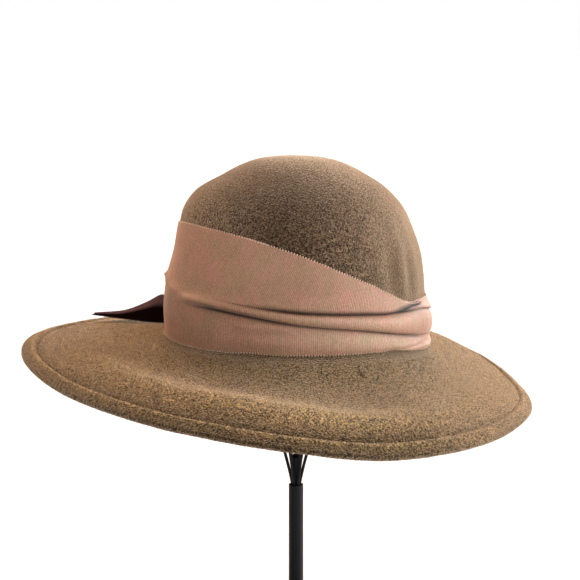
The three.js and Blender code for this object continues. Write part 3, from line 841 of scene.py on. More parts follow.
# Short fibres that lie on the felt, each a bent sliver, more of them where the nap value is high
def napTree():
    tree, give = startTree("feltNap", {
        "Density": "Float",
        "Length": "Float",
        "Width": "Float",
        "Lift": "Float",
        "Lowest": "Float",
        "Highest": "Float",
        "Seed": "Int",
    })
    position = addNode(tree, "GeometryNodeInputPosition").outputs[0]
    place = addNode(tree, "ShaderNodeSeparateXYZ", None, position).outputs
    above = mathNode(tree, "GREATER_THAN", place["Z"], give["Lowest"])
    below = mathNode(tree, "LESS_THAN", place["Z"], give["Highest"])
    within = mathNode(tree, "MULTIPLY", above, below)
    fullDensity = mathNode(tree, "MULTIPLY", storedNode(tree, "nap"), give["Density"])
    density = mathNode(tree, "MULTIPLY", fullDensity, within)
    spread = addNode(tree, "GeometryNodeDistributePointsOnFaces", Mesh=give["Geometry"], Density=density,
                     Seed=give["Seed"])
    marked = addNode(tree, "GeometryNodeStoreNamedAttribute", {"data_type": "FLOAT", "domain": "POINT"},
                     Geometry=spread.outputs["Points"], Name="shade", Value=randomNode(tree, 0.0, 1.0, 11))
    sliver = addNode(tree, "GeometryNodeMeshGrid", None, give["Width"], give["Length"], 2, 2)
    fromRoot = mathNode(tree, "ADD", mathNode(tree, "DIVIDE", place["Y"], give["Length"]), 0.5)
    rise = mathNode(tree, "MULTIPLY", mathNode(tree, "POWER", fromRoot, 1.6), give["Lift"])
    bend = addNode(tree, "ShaderNodeCombineXYZ", Z=rise).outputs[0]
    fibre = addNode(tree, "GeometryNodeSetPosition", Geometry=sliver.outputs["Mesh"], Offset=bend)
    spin = addNode(tree, "ShaderNodeCombineXYZ", Z=randomNode(tree, 0.0, 2 * math.pi, 23)).outputs[0]
    turn = addNode(tree, "FunctionNodeEulerToRotation", None, spin).outputs[0]
    upright = spread.outputs["Rotation"]
    turned = addNode(tree, "FunctionNodeRotateRotation", {"rotation_space": "LOCAL"}, upright, turn)
    placed = addNode(tree, "GeometryNodeInstanceOnPoints", Points=marked.outputs[0],
                     Instance=fibre.outputs[0], Rotation=turned.outputs[0],
                     Scale=randomNode(tree, 0.5, 1.2, 31))
    return endTree(tree, give, placed.outputs[0])


def feltNap(hat, tree, row, seed, finish):
    values = {
        "Density": napDensity / mm**2,
        "Length": row["length"] * mm,
        "Width": row["width"] * mm,
        "Lift": row["lift"] * mm,
        "Lowest": (joinHeight + row["low"]) * mm,
        "Highest": (joinHeight + row["high"]) * mm,
        "Seed": seed,
        "Finish": finish,
    }
    return grow(hat, tree, row["name"], values, keepBase=True)


# Weights that turn control places into rows along a uniform cubic spline. The rows are evenly spread, or
# stand at the given places.
def splineWeights(controls, rows, places=None):
    order = [0, 0, *range(controls), controls - 1, controls - 1]
    spans = len(order) - 3
    weights = np.zeros((rows, controls))
    for i, place in enumerate(np.linspace(0, spans, rows) if places is None else places):
        span = min(int(place), spans - 1)
        t = place - span
        shares = ((1 - t) ** 3, 3 * t**3 - 6 * t**2 + 4, -3 * t**3 + 3 * t**2 + 3 * t + 1, t**3)
        for k, share in enumerate(shares):
            weights[i, order[span + k]] += share / 6
    return weights


# Where the rows stand along the section's spline: more of them on the stretches that show
sectionPlaces = np.interp(np.linspace(0, ribbon["rows"] - 1, ribbon["rows"]),
                          [0, 14, 22, 28, 35, ribbon["rows"] - 1], [0, 5.4, 12, 15.6, 22.4, 29])


# The ribbon's section from its lower edge to its upper one, folded in behind the lips at both creases:
# heights, distances from the felt, and painted shade, which is 1 in a fold, and below 0 a painted highlight
# where the ribbon is paler
def bandSection(azimuth):
    read = {column: around(bandRows, column, azimuth) for column in bandRows[0] if column != "azimuth"}
    bottom, lower, upper, top = (read[column] for column in ("bottom", "lower", "upper", "top"))
    bottom = bottom + humps(edgeLifts, azimuth, 0, "lift")
    roll, skirt, flare = read["roll"], read["skirt"], read["flare"]
    lowerDepth, upperDepth = np.clip(read["lowerDepth"], 0, 1), np.clip(read["upperDepth"], 0, 1)
    clear, tuck = ribbon["clear"], ribbon["tuck"]

    def folded(height, out, depth):
        share = np.clip((height - bottom) / (top - bottom), 0.001, 0.999)
        plain = clear + 0.55 * roll * np.sin(np.pi * share**0.6) ** 0.8
        return height, mix(plain, clear + out, depth)

    either = np.maximum(lowerDepth, upperDepth)
    lowTuck, highTuck = tuck * lowerDepth, tuck * upperDepth
    controls = [
        (bottom, clear + 0.2 + 0.9 * flare * skirt),
        (mix(bottom, lower, 0.14), clear + 0.3 + (0.8 + 0.35 * flare) * skirt),
        (mix(bottom, lower, 0.4), clear + 0.3 + skirt),
        folded(mix(bottom, lower, 0.66), 0.3 + (0.85 - 0.2 * flare) * skirt, lowerDepth),
        folded(lower - 3, 0.2 + 0.4 * skirt, lowerDepth),
        folded(lower - 0.6, 0, lowerDepth),
        folded(lower + 0.9 * lowTuck, 0.1, lowerDepth),
        folded(lower + 1.05 * lowTuck, 0.5, lowerDepth),
        folded(lower + 0.6 * lowTuck, 0.3 * roll, lowerDepth),
        folded(lower - 0.02 * lowTuck, 0.4 * roll, lowerDepth),
        folded(lower - 0.14 * lowTuck, 0.58 * roll, lowerDepth),
        folded(lower + 0.05 * lowTuck, 0.86 * roll, lowerDepth),
        folded(mix(lower, upper, 0.3), 1.1 * roll, either),
        folded(mix(lower, upper, 0.52), 1.14 * roll, either),
        folded(mix(lower, upper, 0.76), 0.9 * roll, either),
        folded(upper - 1, 0.44 * roll, upperDepth),
        folded(upper + 0.3 * highTuck, 0.12 * roll, upperDepth),
        folded(upper + 0.9 * highTuck, 0.1 * roll, upperDepth),
        folded(upper + 1.05 * highTuck, 0.1 * roll + 0.5, upperDepth),
        folded(upper + 0.7 * highTuck, 0.36 * roll + 0.5, upperDepth),
        folded(upper + 0.05 * highTuck, 0.52 * roll + 0.5, upperDepth),
        folded(upper - 0.08 * highTuck, 0.68 * roll + 0.5, upperDepth),
        folded(upper + 0.2 * highTuck, 0.88 * roll + 0.4, upperDepth),
        folded(mix(upper, top, 0.14), 0.84 * roll + 0.3, upperDepth),
        folded(mix(upper, top, 0.28), 0.6 * roll + 0.2, upperDepth),
        folded(mix(upper, top, 0.52), 0.3 * roll + 0.2, upperDepth),
        (mix(upper, top, 0.8), clear + 0.3),
        (top, clear + 0.1),
    ]
    weights = splineWeights(len(controls), ribbon["rows"], sectionPlaces)
    columns = [np.stack([control[k] + 0 * azimuth for control in controls]) for k in range(2)]
    heights, outs = (weights @ column for column in columns)
    part = (weights @ np.arange(float(len(controls))))[:, None]

    def shadeOn(stretch, value):
        start, end = shadeParts[stretch]
        return np.where((part > start) & (part < end), value, 0)

    def paleAt(place, reach):
        return np.exp(-(((part - place) / reach) ** 2))

    # Painted shade below and inside the folds
    belowLower = shadeOn("belowLower", smoothStep(ribbon["shadeLow"], 1, lower - heights)) * lowerDepth
    belowUpper = shadeOn("belowUpper", smoothStep(3.2, 0.6, upper - heights)) * upperDepth
    underRoll = shadeOn("underRoll", smoothStep(ribbon["shadeHigh"], 0, heights - lower)) * lowerDepth
    underLip = shadeOn("underLip", smoothStep(ribbon["shadeHigh"], 0, heights - upper)) * upperDepth
    inside = shadeOn("inLowerFold", lowerDepth) + shadeOn("inUpperFold", upperDepth)
    shade = np.maximum(np.maximum(belowLower, 0.5 * underRoll), np.maximum(belowUpper, 0.9 * underLip))
    # Painted highlight on the roll and the lower stretch
    pale = either * paleAt(*ribbon["rollAt"]) + lowerDepth * paleAt(*ribbon["skirtAt"])
    pale = pale * smoothStep(*ribbon["paleFrom"], azimuth) * smoothStep(*ribbon["paleTo"], azimuth)
    # Painted shade on the lower stretch at the left and on the right end
    dimLeft = ribbon["dimLeft"] * smoothStep(*ribbon["dimLeftParts"], part)
    dimLeft = dimLeft * smoothStep(*ribbon["dimLeftTurn"], azimuth)
    dimRight = ribbon["dimRight"] * smoothStep(*ribbon["dimRightTurn"], azimuth)
    return heights, outs, np.maximum(np.maximum(shade, inside), dimLeft + dimRight) - pale


def ribbonPoint(azimuth, height, out):
    along = height - around(brimRows, "foot", azimuth)
    pushed = out + humps(bandDents, azimuth, height, "push")
    return feltPoint(azimuth, along) + outOf(feltPoint, azimuth, along, 0.4) * pushed[..., None]


# Azimuths evenly spaced by length round the band, three to each rib
def ribColumns(start, end):
    fine = np.linspace(start, end, 4000)
    line = ribbonPoint(fine, np.full(4000, 22.0), np.full(4000, 3.0))
    length = np.concatenate([[0], np.cumsum(np.linalg.norm(np.diff(line, axis=0), axis=1))])
    steps = np.linspace(0, length[-1], 3 * round(length[-1] / ribbon["ribSpacing"]) + 1)
    return np.interp(steps, length, fine)


# The band's section at each column: azimuths, heights and distances out by row. Ribs lean with height.
def bandGrid(azimuth):
    turned = np.tile(azimuth, (ribbon["rows"], 1))
    lean = around(bandRows, "lean", azimuth)
    for _ in range(3):
        sections = [bandSection(row) for row in turned]
        own = [[section[k][i] for i, section in enumerate(sections)] for k in range(3)]
        heights, outs, inFold = (np.array(values) for values in own)
        above = np.maximum(heights - around(bandRows, "upper", azimuth), 0)
        turned = azimuth + np.degrees(lean * above / felt["crownRadius"])
    return turned, heights, outs, inFold


# A ribbon as a thin closed shell: its face has three columns to a rib, its back has one
def ribbonShell(name, points, closed, inFold=None):
    rows, columns = points.shape[:2]
    thick = ribbon["thickness"]
    near = np.pad(points, ((1, 1), (1, 1), (0, 0)), "edge")
    if closed:
        near[1:-1, 0], near[1:-1, -1] = points[:, -1], points[:, 0]
    out = np.cross(near[1:-1, 2:] - near[1:-1, :-2], near[2:, 1:-1] - near[:-2, 1:-1])
    out /= np.maximum(np.linalg.norm(out, axis=2, keepdims=True), 1e-9)
    steps = np.linalg.norm(np.diff(points, axis=0), axis=2)
    across = np.concatenate([np.zeros((1, columns)), np.cumsum(steps, axis=0)])
    face, back = points + out * thick / 2, (points - out * thick / 2)[:, ::3]
    few = back.shape[1]
    spans, fewSpans = (columns, few) if closed else (columns - 1, few - 1)

    def at(i, k):
        return i * columns + k % columns

    def behind(i, k):
        return rows * columns + i * few + k % few

    faces = []
    for i in range(rows - 1):
        faces += [(at(i, k), at(i, k + 1), at(i + 1, k + 1), at(i + 1, k)) for k in range(spans)]
        for k in range(fewSpans):
            faces.append((behind(i, k), behind(i + 1, k), behind(i + 1, k + 1), behind(i, k + 1)))
    last = rows - 1
    for k in range(fewSpans):
        low = [at(0, 3 * k + step) for step in (3, 2, 1, 0)]
        high = [at(last, 3 * k + step) for step in (0, 1, 2, 3)]
        faces.append((behind(0, k), behind(0, k + 1), *low))
        faces.append((behind(last, k + 1), behind(last, k), *high))
    if not closed:
        end, endBehind = columns - 1, few - 1
        for i in range(last):
            faces.append((at(i, 0), at(i + 1, 0), behind(i + 1, 0), behind(i, 0)))
            faces.append((at(i + 1, end), at(i, end), behind(i, endBehind), behind(i + 1, endBehind)))
    piece = makeMesh(name, np.concatenate([face.reshape(-1, 3), back.reshape(-1, 3)]), faces)
    along = np.broadcast_to(np.arange(columns) * ribbon["ribSpacing"] / 3, (rows, columns))
    storeValues(piece, "along", np.concatenate([along.ravel(), along[:, ::3].ravel()]) * mm)
    storeValues(piece, "across", np.concatenate([across.ravel(), across[:, ::3].ravel()]) * mm)
    inFold = 0 * across if inFold is None else inFold
    storeValues(piece, "fold", np.concatenate([inFold.ravel(), inFold[:, ::3].ravel()]))
    storeValues(piece, "face", np.repeat([1.0, 0.0], [rows * columns, rows * few]))
    return piece, out


# Ribs across a ribbon: raises its face where the distance along it meets a rib
def ribTree():
    tree, give = startTree("ribbonRibs", {"Spacing": "Float", "Height": "Float"})
    turns = mathNode(tree, "DIVIDE", storedNode(tree, "along"), give["Spacing"])
    angle = mathNode(tree, "MULTIPLY", turns, 2 * math.pi)
    wave = mathNode(tree, "MULTIPLY", mathNode(tree, "COSINE", angle), give["Height"])
    height = mathNode(tree, "MULTIPLY", wave, storedNode(tree, "face"))
    normal = addNode(tree, "GeometryNodeInputNormal").outputs[0]
    moved = addNode(tree, "GeometryNodeSetPosition", Geometry=give["Geometry"],
                    Offset=vectorNode(tree, "SCALE", normal, Scale=height))
    return endTree(tree, give, moved.outputs[0])


# Small rounded beads along lines, such as a ribbon's scallops or a row of stitches
def beadTree():
    tree, give = startTree("beadsAlongLine", {
        "Spacing": "Float",
        "Size": "Vector",
        "Unevenness": "Float",
        "Seed": "Int",
    })
    curve = addNode(tree, "GeometryNodeMeshToCurve", None, give["Geometry"])
    even = addNode(tree, "GeometryNodeResampleCurve", {"mode": "LENGTH"}, curve.outputs[0],
                   Length=give["Spacing"])
    tangent = addNode(tree, "GeometryNodeInputTangent").outputs[0]
    ahead = addNode(tree, "FunctionNodeAlignRotationToVector", {"axis": "X"}, Vector=tangent)
    upright = addNode(tree, "FunctionNodeAlignRotationToVector", {"axis": "Z", "pivot_axis": "X"},
                      Rotation=ahead.outputs[0], Vector=storedNode(tree, "out", "FLOAT_VECTOR"))
    bead = addNode(tree, "GeometryNodeMeshIcoSphere", Radius=1.0, Subdivisions=2)
    least = mathNode(tree, "SUBTRACT", 1.0, give["Unevenness"])
    size = vectorNode(tree, "SCALE", give["Size"], Scale=randomNode(tree, least, 1.0, give["Seed"]))
    placed = addNode(tree, "GeometryNodeInstanceOnPoints", Points=even.outputs[0], Instance=bead.outputs[0],
                     Rotation=upright.outputs[0], Scale=size)
    return endTree(tree, give, placed.outputs[0])


# Lines of points, each with the direction out of the cloth, for the bead tree
def edgeLines(name, lines):
    points, outs, edges = [], [], []
    for line, out, closed in lines:
        start, count = len(points), len(line)
        points += list(line)
        outs += list(out)
        edges += [(start + k, start + (k + 1) % count) for k in range(count if closed else count - 1)]
    base = makeMesh(name, points, [], edges=edges)
    storeValues(base, "out", outs, "FLOAT_VECTOR")
    return base


def beads(name, tree, lines, spacing, size, unevenness, seed, finish):
    values = {
        "Spacing": spacing * mm,
        "Size": tuple(v * mm for v in size),
        "Unevenness": unevenness,
        "Seed": seed,
        "Finish": finish,
    }
    return grow(edgeLines(name + "Line", lines), tree, name, values)


def addRibs(base, tree, name, finish):
    values = {"Spacing": ribbon["ribSpacing"] * mm, "Height": ribbon["ribHeight"] * mm, "Finish": finish}
    return grow(base, tree, name, values)


# The whole band: one shell round the crown, its seam under the knot
def ribbonBand(trees, finish):
    azimuth = ribColumns(ribbon["seamAzimuth"] - 360, ribbon["seamAzimuth"])[:-1]
    turned, heights, outs, inFold = bandGrid(azimuth)
    # Painted shade under the wedge's lip
    under = (heights - between(wedgeRows, "lip", azimuth) + ribbon["lipDrop"]) / ribbon["lipReach"]
    shown = smoothStep(*ribbon["lipFrom"], azimuth) * smoothStep(*ribbon["lipTo"], azimuth)
    inFold = mix(inFold, ribbon["lipShade"], np.exp(-(under**2)) * shown)
    points = ribbonPoint(turned, heights, outs)
    shell, out = ribbonShell("bandShell", points, True, inFold)
    band = addRibs(shell, trees["ribs"], "ribbonBand", finish)
    return band, (azimuth, turned, heights, outs), points, out


# The outer layer of the upper stretch, laid over the band and ending in a point at the right
def ribbonWedge(trees, grid, finish):
    azimuth, turned, heights, outs = grid
    first, last = wedgeRows[0]["azimuth"], wedgeRows[-1]["azimuth"]
    chosen = np.flatnonzero((azimuth > first) & (azimuth < last))
    chosen = chosen[(-chosen[0]) % 3:]
    chosen = chosen[: (len(chosen) - 1) // 3 * 3 + 1]
    rows = ribbon["wedgeRows"]
    shares = np.linspace(0, 1, rows)
    points, underLip = np.zeros((rows, len(chosen), 3)), np.zeros((rows, len(chosen)))
    for k, column in enumerate(chosen):
        lip = between(wedgeRows, "lip", azimuth[column])
        reached = turned[-1, column]
        top = around(bandRows, "top", reached) + between(wedgeRows, "over", reached)
        proud = between(wedgeRows, "proud", azimuth[column])
        top = max(top, lip + ribbon["wedgeLeast"])
        hidden = ribbon["wedgeTuck"] * smoothStep(ribbon["wedgeLeast"], ribbon["wedgeFull"], top - lip)
        controls = np.array([
            (lip + hidden, 0.1),
            (lip + 0.5 * hidden, 0.05),
            (lip + 0.1 * hidden, 0.05),
            (lip - 0.3, 0.35),
            (lip - 0.1, 0.85),
            (lip + 0.1 * (top - lip), 1),
            (mix(lip, top, 0.4), 1),
            (mix(lip, top, 0.75), 1),
            (top, 0.85),
        ])
        height, share = (splineWeights(len(controls), rows) @ controls).T
        face = slice(-ribbon["faceRows"], None)
        onBand = heights[face, column]
        out = np.interp(height, onBand, outs[face, column]) + share * proud
        place = np.interp(height, onBand, turned[face, column])
        points[:, k] = ribbonPoint(place, height, out)
        # Painted shade on the folded-in part
        underLip[:, k] = smoothStep(ribbon["wedgeTuck"], 0, height - lip) * np.where(share > 0.6, 0.85, 1)
    shell, out = ribbonShell("wedgeShell", points, False, underLip)
    wedge = addRibs(shell, trees["ribs"], "ribbonWedge", finish)
    return wedge, points, out


knot = {
    "halfAngle": 8.4,
    "over": 1.2,  # how far it passes over the band's edges
    "clear": 0.55,
    "pleats": 2.5,
    "pleatDepth": 0.75,
    "swell": 1.3,
    "rows": 40,
    "ends": 12,  # length that its two ends take up
    "seatReach": 2.6,  # it lies on the band's outermost place within this height
    "seatLeast": 1.2,
    "seatBlur": 7,  # columns to each side over which that seat is evened out
    "endShare": 0.06,  # share of its length in which each end runs out
}


# A short stretch of ribbon wrapped upright round the band over its seam
def ribbonKnot(trees, finish):
    rows = knot["rows"]
    azimuth = ribbon["seamAzimuth"] + knot["halfAngle"] * np.linspace(1, -1, rows)
    bandHeights, bandOuts, _ = bandSection(azimuth)
    bottom = around(bandRows, "bottom", azimuth) - 0.3 * knot["over"]
    top = around(bandRows, "top", azimuth) + knot["over"]
    length = float(np.mean(top - bottom)) + knot["ends"]
    ribs = round(length / ribbon["ribSpacing"])
    share = np.linspace(0, 1, 3 * ribs + 1)
    side = np.linspace(1, -1, rows)
    height = mix(bottom[:, None], top[:, None], smoothStep(0.02, 0.98, share)[None, :])
    near = np.abs(bandHeights[:, :, None] - height[None]) < knot["seatReach"]
    seat = np.max(np.where(near, bandOuts[:, :, None], knot["seatLeast"]), axis=0)
    blur = knot["seatBlur"]
    kernel = np.hanning(2 * blur + 1)
    seat = np.array([np.convolve(np.pad(row, blur, "edge"), kernel / kernel.sum(), "valid") for row in seat])
    round_ = np.sqrt(np.clip(1 - side**2, 0, 1))[:, None]
    pleat = knot["pleatDepth"] * np.cos(2 * np.pi * knot["pleats"] * side)[:, None] * round_
    body = seat + knot["clear"] + round_ * knot["swell"] + pleat
    ends = smoothStep(0, knot["endShare"], share) * smoothStep(1, 1 - knot["endShare"], share)
    out = mix(0.45, body, ends[None, :] * (0.25 + 0.75 * round_**0.5))
    points = ribbonPoint(np.broadcast_to(azimuth[:, None], height.shape), height, out)
    shell, _ = ribbonShell("knotShell", points, False)
    return addRibs(shell, trees["ribs"], "ribbonKnot", finish)


# The free end, as rows from the knot out over the brim: the lower edge's place and height above the felt,
# the strip's width, how far it leans back (90 is flat) and how far its middle bulges
tailRows = makeRows(
    "x y clear width lean bulge",
    (-95, 38, 1.2, 22, 5, 0.6),
    (-107, 47, 1.2, 24, 38, 1.4),
    (-117, 54, 1.6, 27, 47, 1.8),
    (-132, 62, 3, 28, 70, 1.6),
    (-147, 68, 4.6, 19, 84, 1),
    (-163, 73, 7, 6, 85, 0.3),
)


def brimHeight(x, y):
    azimuth = np.degrees(np.arctan2(y, x))
    start, end, _ = brimEnds(azimuth)
    near, far = (np.hypot(place[..., 0], place[..., 1]) for place in (start, end))
    return brimPoint(azimuth, (np.hypot(x, y) - near) / (far - near))[..., 2]


def ribbonTail(trees, finish):
    count = len(tailRows) - 1
    length = sum(math.dist((a["x"], a["y"]), (b["x"], b["y"])) for a, b in zip(tailRows, tailRows[1:]))
    ribs = round(length / ribbon["ribSpacing"])
    place = np.linspace(0, count, 3 * ribs + 1)
    read = {column: between(tailRows, column, place, np.arange(count + 1.0)) for column in tailRows[0]}
    edge = np.stack([read["x"], read["y"], brimHeight(read["x"], read["y"]) + read["clear"]], axis=-1)
    ahead = np.gradient(edge, axis=0)
    ahead /= np.linalg.norm(ahead, axis=1, keepdims=True)
    flat = np.cross(ahead, [0, 0, 1])
    flat /= np.linalg.norm(flat, axis=1, keepdims=True)
    up = np.cross(flat, ahead)
    lean = np.radians(read["lean"])[:, None]
    rise = up * np.cos(lean) + flat * np.sin(lean)
    outward = np.cross(ahead, rise)
    share = np.linspace(0, 1, 30)[:, None, None]
    bulge = np.sin(np.pi * share) * read["bulge"][:, None]
    points = edge + rise * share * read["width"][:, None] + outward * bulge
    # Painted shade on the tail's lower part
    shade = smoothStep(0.85, 0.5, share[:, :, 0]) + 0 * points[..., 0]
    shell, out = ribbonShell("tailShell", points, False, shade)
    return addRibs(shell, trees["ribs"], "ribbonTail", finish), points, out


stand = {
    "wireRadius": 1.2,
    "wires": 6,
    "neck": -118,  # the socket's mouth, from the crown's foot level
    "bundle": 2.8,  # circle on which the wires stand in the socket
    "socket": 12,
    "coreFoot": 1.3,  # the tapered core between the wires
    "coreTop": 4.8,
    "coreHeight": 22,
    "gap": 0.3,
    "capRadius": 9,
    "capHeight": 4.6,
    "capBevel": 1.2,
    "stemRadius": 5.6,
    "flangeRadius": 16,
    "flangeHeight": 3,
    "flangeBevel": 1,
    "footRadius": 75,
    "footHeight": 5,
    "footBevel": 1.2,
    "lowBevel": 0.4,  # of the cap's and the foot's lower edges
}

# The wire's middle line: height from the crown's foot level, and distance from the axis
wireRows = [
    {"height": stand["neck"] - stand["socket"] + stand["gap"], "radius": stand["bundle"]},
    {"height": stand["neck"] - 4, "radius": stand["bundle"]},
    {"height": stand["neck"] + 2, "radius": 3.1},
    {"height": -96, "radius": 7.7},
    {"height": -62, "radius": 17.5},
    {"height": -22, "radius": 35},
    {"height": 20, "radius": 55},
    {"height": 60, "radius": 65},
    {"height": 92, "radius": 57},
    {"height": 113, "radius": 39},
    {"height": 124.5, "radius": 20},
    {"height": crownHeight - felt["thickness"] - stand["gap"] - stand["capHeight"] / 2,
     "radius": stand["capRadius"] + stand["gap"]},
]


def wireTree():
    tree, give = startTree("wiresAlongLines", {"Radius": "Float", "Sides": "Int"})
    curve = addNode(tree, "GeometryNodeMeshToCurve", None, give["Geometry"])
    ring = addNode(tree, "GeometryNodeCurvePrimitiveCircle", Resolution=give["Sides"], Radius=give["Radius"])
    tube = addNode(tree, "GeometryNodeCurveToMesh", None, curve.outputs[0], ring.outputs[0])
    tube.inputs["Fill Caps"].default_value = True
    return endTree(tree, give, tube.outputs[0])


def wireCage(finish):
    knots = np.arange(float(len(wireRows)))
    place = np.linspace(0, knots[-1], 89)
    height, radius = (between(wireRows, column, place, knots) for column in ("height", "radius"))
    points, edges = [], []
    for k in range(stand["wires"]):
        turned = 2 * math.pi * k / stand["wires"]
        edges += [(len(points) + i, len(points) + i + 1) for i in range(len(place) - 1)]
        points += list(np.stack([radius * math.cos(turned), radius * math.sin(turned), height], axis=-1))
    lines = makeMesh("wireLines", points, [], edges=edges)
    values = {"Radius": stand["wireRadius"] * mm, "Sides": 12, "Finish": finish}
    return grow(lines, wireTree(), "wireCage", values)


# A round piece from its profile, radius and height, with each marked corner rounded by an arc
def turnedPiece(name, profile, lift, finish, steps=96):
    outline = []
    for i, (radius, height, bevel) in enumerate(profile):
        corner = np.array([radius, height], float)
        if not bevel:
            outline.append(corner)
            continue
        before, after = (np.array(profile[k][:2], float) - corner for k in (i - 1, i + 1))
        start = corner + before / np.linalg.norm(before) * bevel
        end = corner + after / np.linalg.norm(after) * bevel
        for t in np.linspace(0, 1, 6):
            outline.append(start * (1 - t) ** 2 + corner * 2 * t * (1 - t) + end * t**2)
    angles = np.arange(steps) * 2 * np.pi / steps
    across, aside = np.cos(angles), np.sin(angles)
    rings = [np.stack([r * across, r * aside, z + 0 * angles], axis=-1) for r, z in outline[1:-1]]
    faces = [face[::-1] for face in bodyFaces(len(rings), steps)]
    poles = [[0, 0, outline[0][1]], [0, 0, outline[-1][1]]]
    piece = makeMesh(name, np.concatenate([*rings, poles]), faces, lift)
    piece.data.materials.append(finish)
    return piece


# A disc's profile, from its radius, the heights of its two faces and the rounding of its two edges
def disc(radius, bottom, top, lowBevel, highBevel):
    return [(0, bottom, 0), (radius, bottom, lowBevel), (radius, top, highBevel), (0, top, 0)]


def standPieces(finish):
    neck = joinHeight + stand["neck"]
    bore = stand["bundle"] + stand["wireRadius"] + stand["gap"]
    capTop = crownHeight - felt["thickness"] - stand["gap"]
    capBottom = capTop - stand["capHeight"]
    cap = disc(stand["capRadius"], capBottom, capTop, stand["lowBevel"], stand["capBevel"])
    flangeTop = stand["footHeight"] + stand["flangeHeight"]
    stem = [
        (0, stand["footHeight"], 0),
        (stand["flangeRadius"], stand["footHeight"], 0.2),
        (stand["flangeRadius"], flangeTop, stand["flangeBevel"]),
        (stand["stemRadius"], flangeTop, 1.5),
        (stand["stemRadius"], neck, 0.5),
        (bore, neck, 0.3),
        (bore, neck - stand["socket"], 0),
        (stand["coreFoot"], neck - stand["socket"], 0),
        (stand["coreFoot"], neck + 1, 0),
        (stand["coreTop"], neck + stand["coreHeight"], 1.2),
        (0, neck + stand["coreHeight"] + 3, 0),
    ]
    foot = disc(stand["footRadius"], 0, stand["footHeight"], stand["lowBevel"], stand["footBevel"])
    settle(turnedPiece("standCap", cap, joinHeight, finish), "stand_metal", "stand_cap")
    settle(turnedPiece("standStem", stem, 0, finish), "stand_metal", "stand_stem")
    settle(turnedPiece("standFoot", foot, 0, finish), "stand_metal", "stand_foot")


feltFinish, fibreFinish = feltMaterial("feltWool", "cloth"), feltMaterial("feltFibre", "fibre")
roseFinish = ribbonMaterial("roseRibbon", ribbonLook["rose"])
edgeFinish = ribbonMaterial("ribbonEdge", ribbonLook["edge"])
darkFinish = ribbonMaterial("darkRibbon", ribbonLook["dark"])
blackPaint = paintMaterial()
print("materials made")

hat = settle(feltHat(feltFinish), "felt", "felt_body")
napNodes = napTree()
for seed, row in enumerate(napRows):
    settle(feltNap(hat, napNodes, row, seed, fibreFinish), "felt")
print("felt made")

trees = {"ribs": ribTree(), "beads": beadTree()}
band, bandPlan, bandPoints, bandOut = ribbonBand(trees, roseFinish)
settle(band, "ribbon", "ribbon_band")
wedge, wedgePoints, wedgeOut = ribbonWedge(trees, bandPlan, roseFinish)
settle(wedge, "ribbon")
wrap = settle(ribbonKnot(trees, roseFinish), "ribbon", "ribbon_knot")
tail, tailPoints, tailOut = ribbonTail(trees, darkFinish)
settle(tail, "dark_ribbon", "ribbon_tail")

beyond = np.array([0, 0, ribbon["picotBeyond"]])
gapStart, gapEnd = ribbon["picotGap"]
shown = (bandPlan[0] < gapStart) | (bandPlan[0] > gapEnd)
startShown = np.flatnonzero(~shown)[-1] + 1
endShown = np.flatnonzero(~shown)[0]
scallops = [
    (bandPoints[-1, startShown:] + beyond, bandOut[-1, startShown:], False),
    (bandPoints[-1, :endShown] + beyond, bandOut[-1, :endShown], False),
    (bandPoints[0] - beyond, bandOut[0], True),
    (wedgePoints[-1] + beyond, wedgeOut[-1], False),
]
picot = [ribbon[key] for key in ("picotSpacing", "picotSize", "picotUnevenness")]
settle(beads("ribbonPicots", trees["beads"], scallops, *picot, 3, edgeFinish), "ribbon")
tailEdges = [(tailPoints[0], tailOut[0], False), (tailPoints[-1], tailOut[-1], False)]
settle(beads("tailPicots", trees["beads"], tailEdges, *picot, 4, darkFinish), "dark_ribbon")

azimuths = np.arange(720) / 2
_, _, brimWidths = brimEnds(azimuths)
seam = around(brimRows, "welt", azimuths) + stitch["inside"] - brimWidths
seamLine, seamOut = brimRing(azimuths, seam, stitch["rise"] - felt["grooveDepth"])
stitches = [stitch[key] for key in ("spacing", "size", "unevenness")]
seams = [(seamLine, seamOut, True)]
settle(beads("weltStitches", trees["beads"], seams, *stitches, 5, threadMaterial()), "felt")
print("ribbon made")

settle(wireCage(blackPaint), "stand_metal", *[f"stand_wire_{k + 1}" for k in range(stand["wires"])])
standPieces(blackPaint)
print("stand made")


studio = {
    "cameraDistance": 1.1,
    "cameraElevation": 11.5,
    "lens": 91.03,
    "shiftX": -6 / 580,
    "shiftY": 43 / 580,
    "floorHalf": 40,
    "sunSpread": 36,
    "white": (1, 0.96, 0.98),
    "warm": (1, 0.63, 0.4),
    "worldLight": 0.02,
}


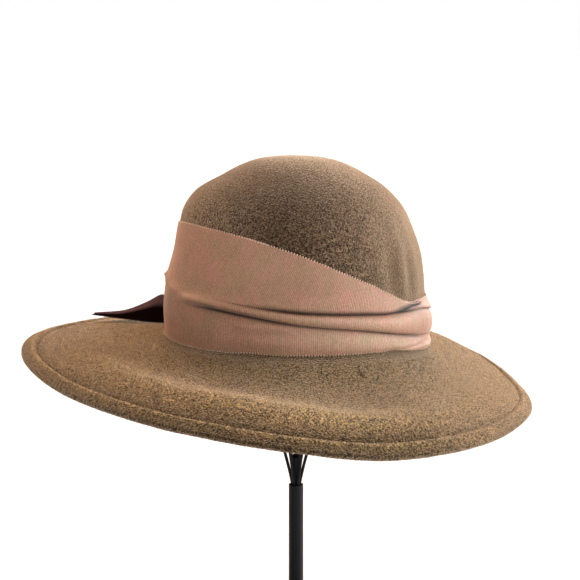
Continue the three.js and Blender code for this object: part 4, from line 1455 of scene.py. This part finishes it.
# Soft suns: where each stands round the hat, how high, how strong and whether its light is warm. Most powers
# and the two tints are the result of a program's fit to the hat's tones.
suns = makeRows(
    "name azimuth elevation power warm",
    ("rightLight", 0, 10, 4.85, False),
    ("backRightLight", 40, 22, 3.4, False),
    ("highBackLight", 80, 50, 2.01, True),
    ("backLight", 110, 50, 1.84, True),
    ("backLeftLight", 140, 28, 1.6, True),
    ("frontLight", 270, 10, 0.98, False),
    ("frontRightLight", 315, 10, 0.86, False),
    ("highRightLight", 0, 80, 0.79, False),
    ("highLeftLight", 205, 55, 0.95, True),
)


def addSun(row):
    light = bpy.data.lights.new(row["name"], "SUN")
    light.angle = math.radians(studio["sunSpread"])
    light.energy = row["power"]
    light.color = studio["warm"] if row["warm"] else studio["white"]
    azimuth, elevation = math.radians(row["azimuth"]), math.radians(row["elevation"])
    lamp = bpy.data.objects.new(row["name"], light)
    lamp.location = (math.cos(azimuth), math.sin(azimuth), 1)
    lamp.rotation_euler = (math.pi / 2 - elevation, 0, azimuth + math.pi / 2)
    bpy.context.scene.collection.objects.link(lamp)


# White to the eye, though the suns give all the light
def studioWorld():
    world = bpy.data.worlds.new("studioWorld")
    world.use_nodes = True
    tree = world.node_tree
    seen = addNode(tree, "ShaderNodeLightPath").outputs["Is Camera Ray"]
    background = tree.nodes["Background"]
    background.inputs["Color"].default_value = (1, 1, 1, 1)
    tree.links.new(mathNode(tree, "MAXIMUM", seen, studio["worldLight"]), background.inputs["Strength"])
    bpy.context.scene.world = world


half = studio["floorHalf"]
floorMesh = bpy.data.meshes.new("floor")
corners = [(-half, -half, 0), (half, -half, 0), (half, half, 0), (-half, half, 0)]
floorMesh.from_pydata(corners, [], [(0, 1, 2, 3)])
floor = addObject("floor", floorMesh)
floorMesh.materials.append(floorMaterial())
studioWorld()
for row in suns:
    addSun(row)

elevation = math.radians(studio["cameraElevation"])
reach = studio["cameraDistance"]
camera = bpy.data.objects.new("camera", bpy.data.cameras.new("camera"))
camera.location = (0, -reach * math.cos(elevation), joinHeight * mm + reach * math.sin(elevation))
camera.rotation_euler = (math.pi / 2 - elevation, 0, 0)
camera.data.sensor_width = 36
camera.data.lens = studio["lens"]
camera.data.shift_x, camera.data.shift_y = studio["shiftX"], studio["shiftY"]
bpy.context.scene.collection.objects.link(camera)
bpy.context.scene.camera = camera
bpy.context.scene.view_settings.view_transform = "Standard"
print("studio made")
